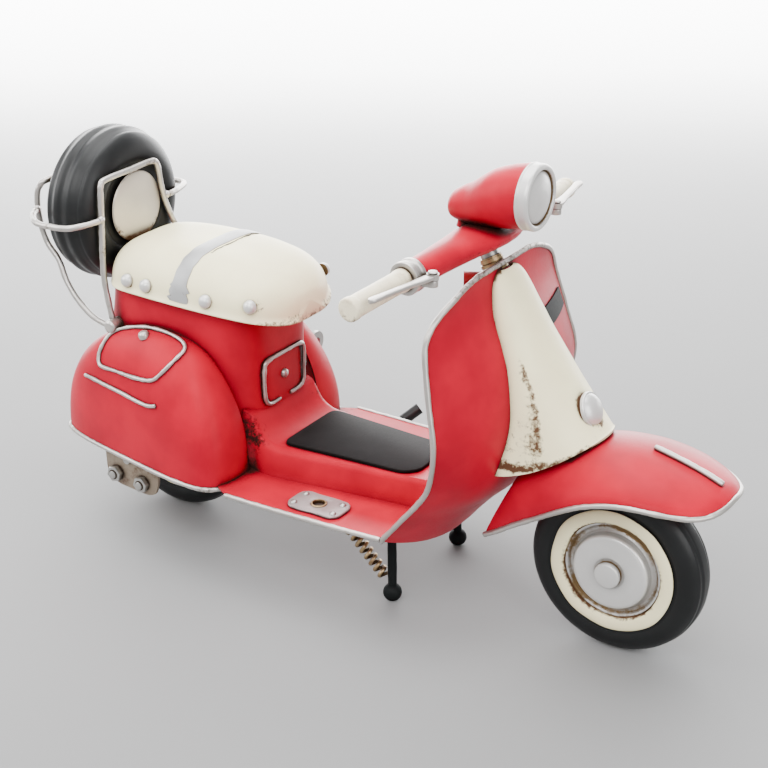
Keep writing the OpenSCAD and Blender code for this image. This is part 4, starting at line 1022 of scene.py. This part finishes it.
def casing_ring(y):
    r = smooth(CASING, lookup(abs(y), CASING_T))
    out = []
    for j in range(64):
        a = 2 * math.pi * j / 64
        dent = 1 - 0.06 * math.exp(-((a - math.pi / 2) / 0.5) ** 2) * ramp(14 - abs(y), 0, 8)
        out.append((r[1] + r[3] * spow(math.cos(a), 1.15), y,
                    r[2] + r[4] * spow(math.sin(a), 0.85) * dent))
    return out


def casing_grime(p):
    y = abs(p[1])
    seam = 0.55 * ramp(1.3 - abs(p[2] - 131.2 + y * 0.06), 0, 1.2) * ramp(p[0], 30, 34)
    return seam + 0.5 * ramp(129.6 - p[2], 0, 2) * ramp(26 - y, 0, 10) + 0.3 * ramp(y, 34, 38)


Shape().loft([casing_ring(BAR_END_Y * (2 * s - 1)) for s in steps(110)]).piece(
    "handlebar_tin", "steering", [RED], "handlebar_casing", angle=50, grime=casing_grime)

bar_a, bar_b = Vector((27.5, -BAR_END_Y, 129)), Vector((24.6, -70, 127))
bar = place(bar_a, bar_b - bar_a)
L = (bar_b - bar_a).length
collar = soften([(4.3, 0), (5.3, 0.1), (5.35, 1.5), (5.0, 1.8), (5.0, 3.2), (5.35, 3.5), (5.3, 4.9),
                 (4.3, 5), (4.2, 5), (2.6, 4.8), (2.6, 0.2)], 0.25, closed=True)
shape = Shape().lathe(collar, bar, 56, closed=True, mirror=True)
LEVER_X, LEVER_Y, LEVER_Z = 35.4, -40.6, 130.4      # the right lever's pin and mid height
LUG_Z = 127.2
lug = soften([(28, -42.4), (35.4, -42.4), (36.6, -41.9), (37.2, -40.6), (36.6, -39.3), (35.4, -38.8),
              (28, -38.8)], 0.4, closed=True)
shape.plate(lug, LUG_Z, 129.3, lambda p: p, 0.25, mirror=True)
shape.lathe([(0, 0.8), (0.8, 0.8), (0.8, 4.3), (1.3, 4.3), (1.5, 4.5), (1.4, 4.8), (0.8, 5), (0, 5.05)],
            place((LEVER_X, LEVER_Y, LUG_Z), (0, 0, 1)), 28, mirror=True)
shape.piece("bar_end_collars", "steering", [SILVER], "bar_collars", grime=0.22)
grip = soften([(0, 0.6), (2.6, 0.6), (2.6, 4.9), (3.6, 5), (3.7, 7), (3.45, 7.8), (3.4, 18),
               (3.45, L - 3), (3.7, L - 2.4), (3.7, L - 0.4), (3.3, L), (0, L)], 0.35)
Shape().lathe(finer(grip, 2), bar, 56, mirror=True).piece(
    "grip_sleeves", "steering", [GRIP], "grips",
    grime=lambda p: 0.2 + 0.08 * ramp(abs(p[1]), 67, 69.5) + 0.4 * ramp(126 - p[2], -1.5, 2)
    + 0.4 * ramp(47 - abs(p[1]), 0, 4))


def lever_piece(name, node, side):
    """Lever named as its CAD node and body; side is -1 for the right one."""
    a, b = Vector((LEVER_X, LEVER_Y)), Vector((30.6, -68))
    d = (b - a).normalized()
    w = Vector((-d.y, d.x))
    rings = []
    for t in steps(40):
        c = a + (b - a) * t
        half = 1.75 - 0.5 * ramp(t, 0.1, 0.4) + 0.25 * ramp(t, 0.7, 0.95)
        end = min(t * 24, (1 - t) * 24, 1)
        half *= max(end, 0.05) ** 0.5
        ring = []
        for q in range(16):
            an = 2 * math.pi * q / 16
            o = w * half * spow(math.cos(an), 0.6)
            ring.append((c.x + o.x, c.y + o.y, LEVER_Z + 0.7 * spow(math.sin(an), 0.6)))
        rings.append(ring)
    shape = Shape().loft(rings)
    shape.lathe([(0.86, 0.9), (1.9, 0.9), (1.9, -0.9), (0.86, -0.9)],
                lambda p: (LEVER_X + p[0], LEVER_Y + p[1], LEVER_Z + p[2]), 32, closed=True)
    if side > 0:
        shape.v = mirrored(shape.v)
    shape.piece(name, node, [SILVER], node, grime=0.2)


lever_piece("brake_lever_strip", "brake_lever", -1)
lever_piece("clutch_lever_strip", "clutch_lever", 1)

# Rows forward along the headlight: x, z of the middle and radius
LAMP_ROWS = [(18, 139.2, 1.6), (19, 139.3, 4), (22, 139.9, 5.6), (26, 140.8, 6.9), (30, 142.2, 8.4),
             (34, 143.6, 9.5), (40, 145, 10.2), (45.6, 146, 10.4)]
LENS_X, LENS_Z = 45.6, 146
turn = [2 * math.pi * k for k in steps(72)[:-1]]
rings = [[(x, r * math.cos(a), z + r * math.sin(a)) for a in turn] for x, z, r in path_of(LAMP_ROWS, 60)]
shape = Shape().loft(rings)
post = soften([(0, -0.6), (2.6, -0.6), (2.15, 0.8), (1.9, 3), (2.3, 6), (0, 6)], 0.5)
shape.lathe(post, place((22.8, 0, 132.9), (0, 0, 1)), 40)
shape.piece("headlight_shell_tin", "steering", [RED], "headlight_shell", angle=50,
            grime=lambda p: 0.5 * ramp(137.5 - p[2], 0, 3) * ramp(30 - p[0], 0, 8)
            + 0.35 * ramp(p[0], 44, LENS_X))
lamp_at = place((LENS_X, 0, LENS_Z), (1, 0, 0), (0, 0, -1))
bezel = soften([(10.2, 0), (10.6, 0.15), (10.75, 0.6), (10.5, 1.0), (10.6, 3.3), (10.35, 4.0), (9.9, 4.3),
                (9.1, 4.3), (8.65, 3.9), (8.6, 3), (8.6, 0.2), (9, 0)], 0.22, closed=True)
Shape().lathe(bezel, lamp_at, 96, closed=True).piece(
    "headlight_rim_ring", "steering", [LAMP], "headlight_bezel",
    grime=lambda p: 0.12 + 0.35 * ramp(46.4 - p[0], 0, 0.6)
    + 0.2 * ramp(8.9 - math.hypot(p[1], p[2] - LENS_Z), -0.2, 0.5))
lens = [(0, 5.2), (2.5, 5.05), (5, 4.55), (7, 3.85), (8.1, 3.3), (8.5, 3.0), (8.5, 1.5), (0, 1.5)]
Shape().lathe(soften(lens, 0.4), lamp_at, 96).piece(
    "headlight_lens_dome", "steering", [LAMP], "headlight_lens",
    grime=lambda p: 0.5 * ramp(math.hypot(p[1], p[2] - LENS_Z), 7.9, 8.5))

# ---- Stand, spring, kick lever ----

PIVOT_X, PIVOT_Z = 8.2, 30.2
BALL_R, FOOT_Z = 3.3, 3.1       # the balls are cut flat on the ground
FLAT_FROM = 2.79                # angle down the ball where the flat begins, in radians
ball = [(BALL_R * math.sin(FLAT_FROM * s), BALL_R * math.cos(FLAT_FROM * s)) for s in steps(16)]
ball[0] = (0, BALL_R)
ball += [(0.8, -FOOT_Z), (0, -FOOT_Z)]
shape = Shape()
for side in (-1, 1):
    top = Vector((PIVOT_X, 2 + side * 21.6, PIVOT_Z))
    foot = Vector((9.2, 2 + side * 22.6, FOOT_Z))
    shape.wire([top.lerp(foot, s) for s in steps(12)], 1.6, 16, 0.03)
    shape.lathe(ball, place(foot, (0, 0, 1)), 40)
shape.wire([(PIVOT_X, -20.4 + 44.8 * s, PIVOT_Z) for s in steps(24)], 1.5, 16, 0.0)
shape.piece("stand_rods", "stand", [BLACK], "centre_stand")
top, foot = Vector((-17.5, -20.3, 32)), Vector((6.3, -20.3, 8))
d = (foot - top).normalized()
a = d.cross(Vector((0, 1, 0))).normalized()
b = d.cross(a)
TURNS, COIL_R, SPRING_WIRE_R = 13, 1.7, 0.68
coil = []
for t in steps(24 * TURNS):
    ang = 2 * math.pi * TURNS * t
    coil.append(top + (foot - top) * t + (a * math.cos(ang) + b * math.sin(ang)) * COIL_R)
spring = Shape().wire(coil, SPRING_WIRE_R, 8, 0.03).piece(
    "stand_spring_coil", None, [BRASS], "stand_spring", grime=0.3)
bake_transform(spring)
arm = path_of([(-58, 40.2, 29), (-51, 42.6, 27.5), (-38, 44.4, 27.5), (-31, 44.6, 29),
               (-28.6, 44.6, 31), (-27, 45.4, 33)], 60)
shape = Shape().wire(arm, 1.5, 14, 0.04)
shape.wire([(-58, 8.2 + 32.4 * s, 29) for s in steps(20)], 1.5, 20, 0.0)
shape.piece("kick_lever_rod", "kick", [RED], "kick_arm", grime=0.2)

# ---- CAD nodes that keep their shape ----

KEPT = {"head_tube": DARK_RED, "head_rings": BRASS, "fork": STEEL, "stand_bracket": BLACK,
        "motor_plates": STEEL, "motor_pillars": BRASS, "mainspring": STEEL, "rear_axle": STEEL,
        "idler_gear": BRASS, "great_wheel": BRASS, "winding_key": STEEL, "kick_rubber": TYRE}
for name, mat in KEPT.items():
    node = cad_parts[name]
    for slot in node.material_slots:
        slot.material = mat

# ---- Stage, light and camera ----

STAGE_ROWS, STAGE_COLS, STAGE_WIDE = 60, 20, 3.6
FLAT_PART = 0.45        # share of the rows on the ground, before the paper curves up
CAM = Vector(((258.78 + SHIFT) / 1000, -0.42092, 0.29372))
AZIMUTH, ELEVATION = math.radians(32.3), math.radians(24.2)
flat = Vector((-CAM.x, -CAM.y, 0)).normalized()
across = Vector((-flat.y, flat.x, 0))
verts, faces = [], []
for t in steps(STAGE_ROWS):
    if t < FLAT_PART:
        dist, height = -0.9 + 2.1 * t / FLAT_PART * 0.75, 0.0
    else:
        q = (t - FLAT_PART) / (1 - FLAT_PART) * math.pi / 2
        dist, height = 0.675 + 1.6 * math.sin(q), 1.5 * (1 - math.cos(q))
    for s in steps(STAGE_COLS):
        p = flat * dist + across * STAGE_WIDE * (s - 0.5)
        verts.append((p.x, p.y, height))
for i in range(STAGE_ROWS):
    for s in range(STAGE_COLS):
        q = i * (STAGE_COLS + 1) + s
        faces.append((q, q + 1, q + STAGE_COLS + 2, q + STAGE_COLS + 1))
me = bpy.data.meshes.new("studio_floor")
me.from_pydata(verts, [], faces)
for poly in me.polygons:
    poly.use_smooth = True
floor = bpy.data.objects.new("studio_floor", me)
bpy.context.collection.objects.link(floor)
paper = bpy.data.materials.new("studio_paper")
paper.use_nodes = True
shader = paper.node_tree.nodes["Principled BSDF"]
shader.inputs["Roughness"].default_value = 0.75
links = paper.node_tree.links


def paper_node(kind, inputs, operation=None):
    """Node whose inputs are values, or the outputs that they follow."""
    node = paper.node_tree.nodes.new("ShaderNode" + kind)
    if operation:
        node.operation = operation
    for key, value in inputs.items():
        if isinstance(value, bpy.types.NodeSocket):
            links.new(value, node.inputs[key])
        else:
            node.inputs[key].default_value = value
    return node


def far_ramp(source, stops):
    """Grey that changes with the distance behind the model, for the painted light on the paper."""
    node = paper_node("ValToRGB", {"Fac": source})
    node.color_ramp.interpolation = "B_SPLINE"
    while len(node.color_ramp.elements) < len(stops):
        node.color_ramp.elements.new(0.5)
    for e, (pos, v) in zip(node.color_ramp.elements, stops):
        e.position = pos
        e.color = (v, v, v, 1)
    return node.outputs["Color"]


coord = paper_node("TexCoord", {}).outputs["Object"]
grain = paper_node("TexNoise", {"Scale": 3, "Vector": coord}).outputs["Fac"]
depth = paper_node("VectorMath", {0: coord, 1: flat * 0.5}, "DOT_PRODUCT").outputs["Value"]
near = paper_node("Math", {0: depth, 1: 0.49}, "ADD").outputs["Value"]
spot = paper_node("Math", {0: grain, 1: 0.02, 2: near}, "MULTIPLY_ADD").outputs["Value"]
# Painted light: the paper's colour is dark near the model and nearly white far behind it.
links.new(far_ramp(spot, ((0.35, 0.19), (0.5, 0.23), (0.62, 0.3), (0.75, 0.5), (0.85, 0.8), (1, 0.95))),
          shader.inputs["Base Color"])
# Painted light: the far paper glows through its emission.
links.new(far_ramp(spot, ((0.5, 0), (0.62, 0.004), (0.72, 0.035), (0.8, 0.16), (0.88, 0.6), (1, 1))),
          shader.inputs["Emission Color"])
shader.inputs["Emission Strength"].default_value = 10
me.materials.append(paper)

world = bpy.data.worlds.new("studio")
world.use_nodes = True
sky = world.node_tree.nodes["Background"]
sky.inputs["Color"].default_value = (0.95, 0.97, 1, 1)
sky.inputs["Strength"].default_value = 0.62
bpy.context.scene.world = world


def softbox(name, at, aim, size, watts):
    lamp = bpy.data.lights.new(name, "AREA")
    lamp.shape = "RECTANGLE"
    lamp.size, lamp.size_y = size
    lamp.energy = watts
    ob = bpy.data.objects.new(name, lamp)
    bpy.context.collection.objects.link(ob)
    ob.location = at
    ob.rotation_euler = (Vector(aim) - Vector(at)).to_track_quat("-Z", "Y").to_euler()


softbox("top_box", (-0.12, 0.1, 0.75), (0, 0, 0.05), (0.7, 0.7), 12)
softbox("front_box", (0.15, -0.75, 0.75), (0, 0, 0.08), (0.6, 0.5), 9)
softbox("left_box", (-0.55, -0.35, 0.45), (0, 0, 0.06), (0.5, 0.5), 5.5)
softbox("right_box", (0.6, -0.2, 0.35), (0, 0, 0.06), (0.4, 0.5), 3.2)
softbox("back_wall", flat * 1.2 + Vector((0, 0, 1)), flat * 2.2 + Vector((0, 0, 0.5)), (1.2, 0.8), 40)

cam = bpy.data.cameras.new("camera")
cam.sensor_width = 36
cam.lens = 74.53
cam.clip_start = 0.01
cam_ob = bpy.data.objects.new("camera", cam)
bpy.context.collection.objects.link(cam_ob)
back = Vector((math.sin(AZIMUTH) * math.cos(ELEVATION), -math.cos(AZIMUTH) * math.cos(ELEVATION),
               math.sin(ELEVATION)))
cam_ob.location = CAM
cam_ob.rotation_euler = (-back).to_track_quat("-Z", "Y").to_euler()
bpy.context.scene.camera = cam_ob
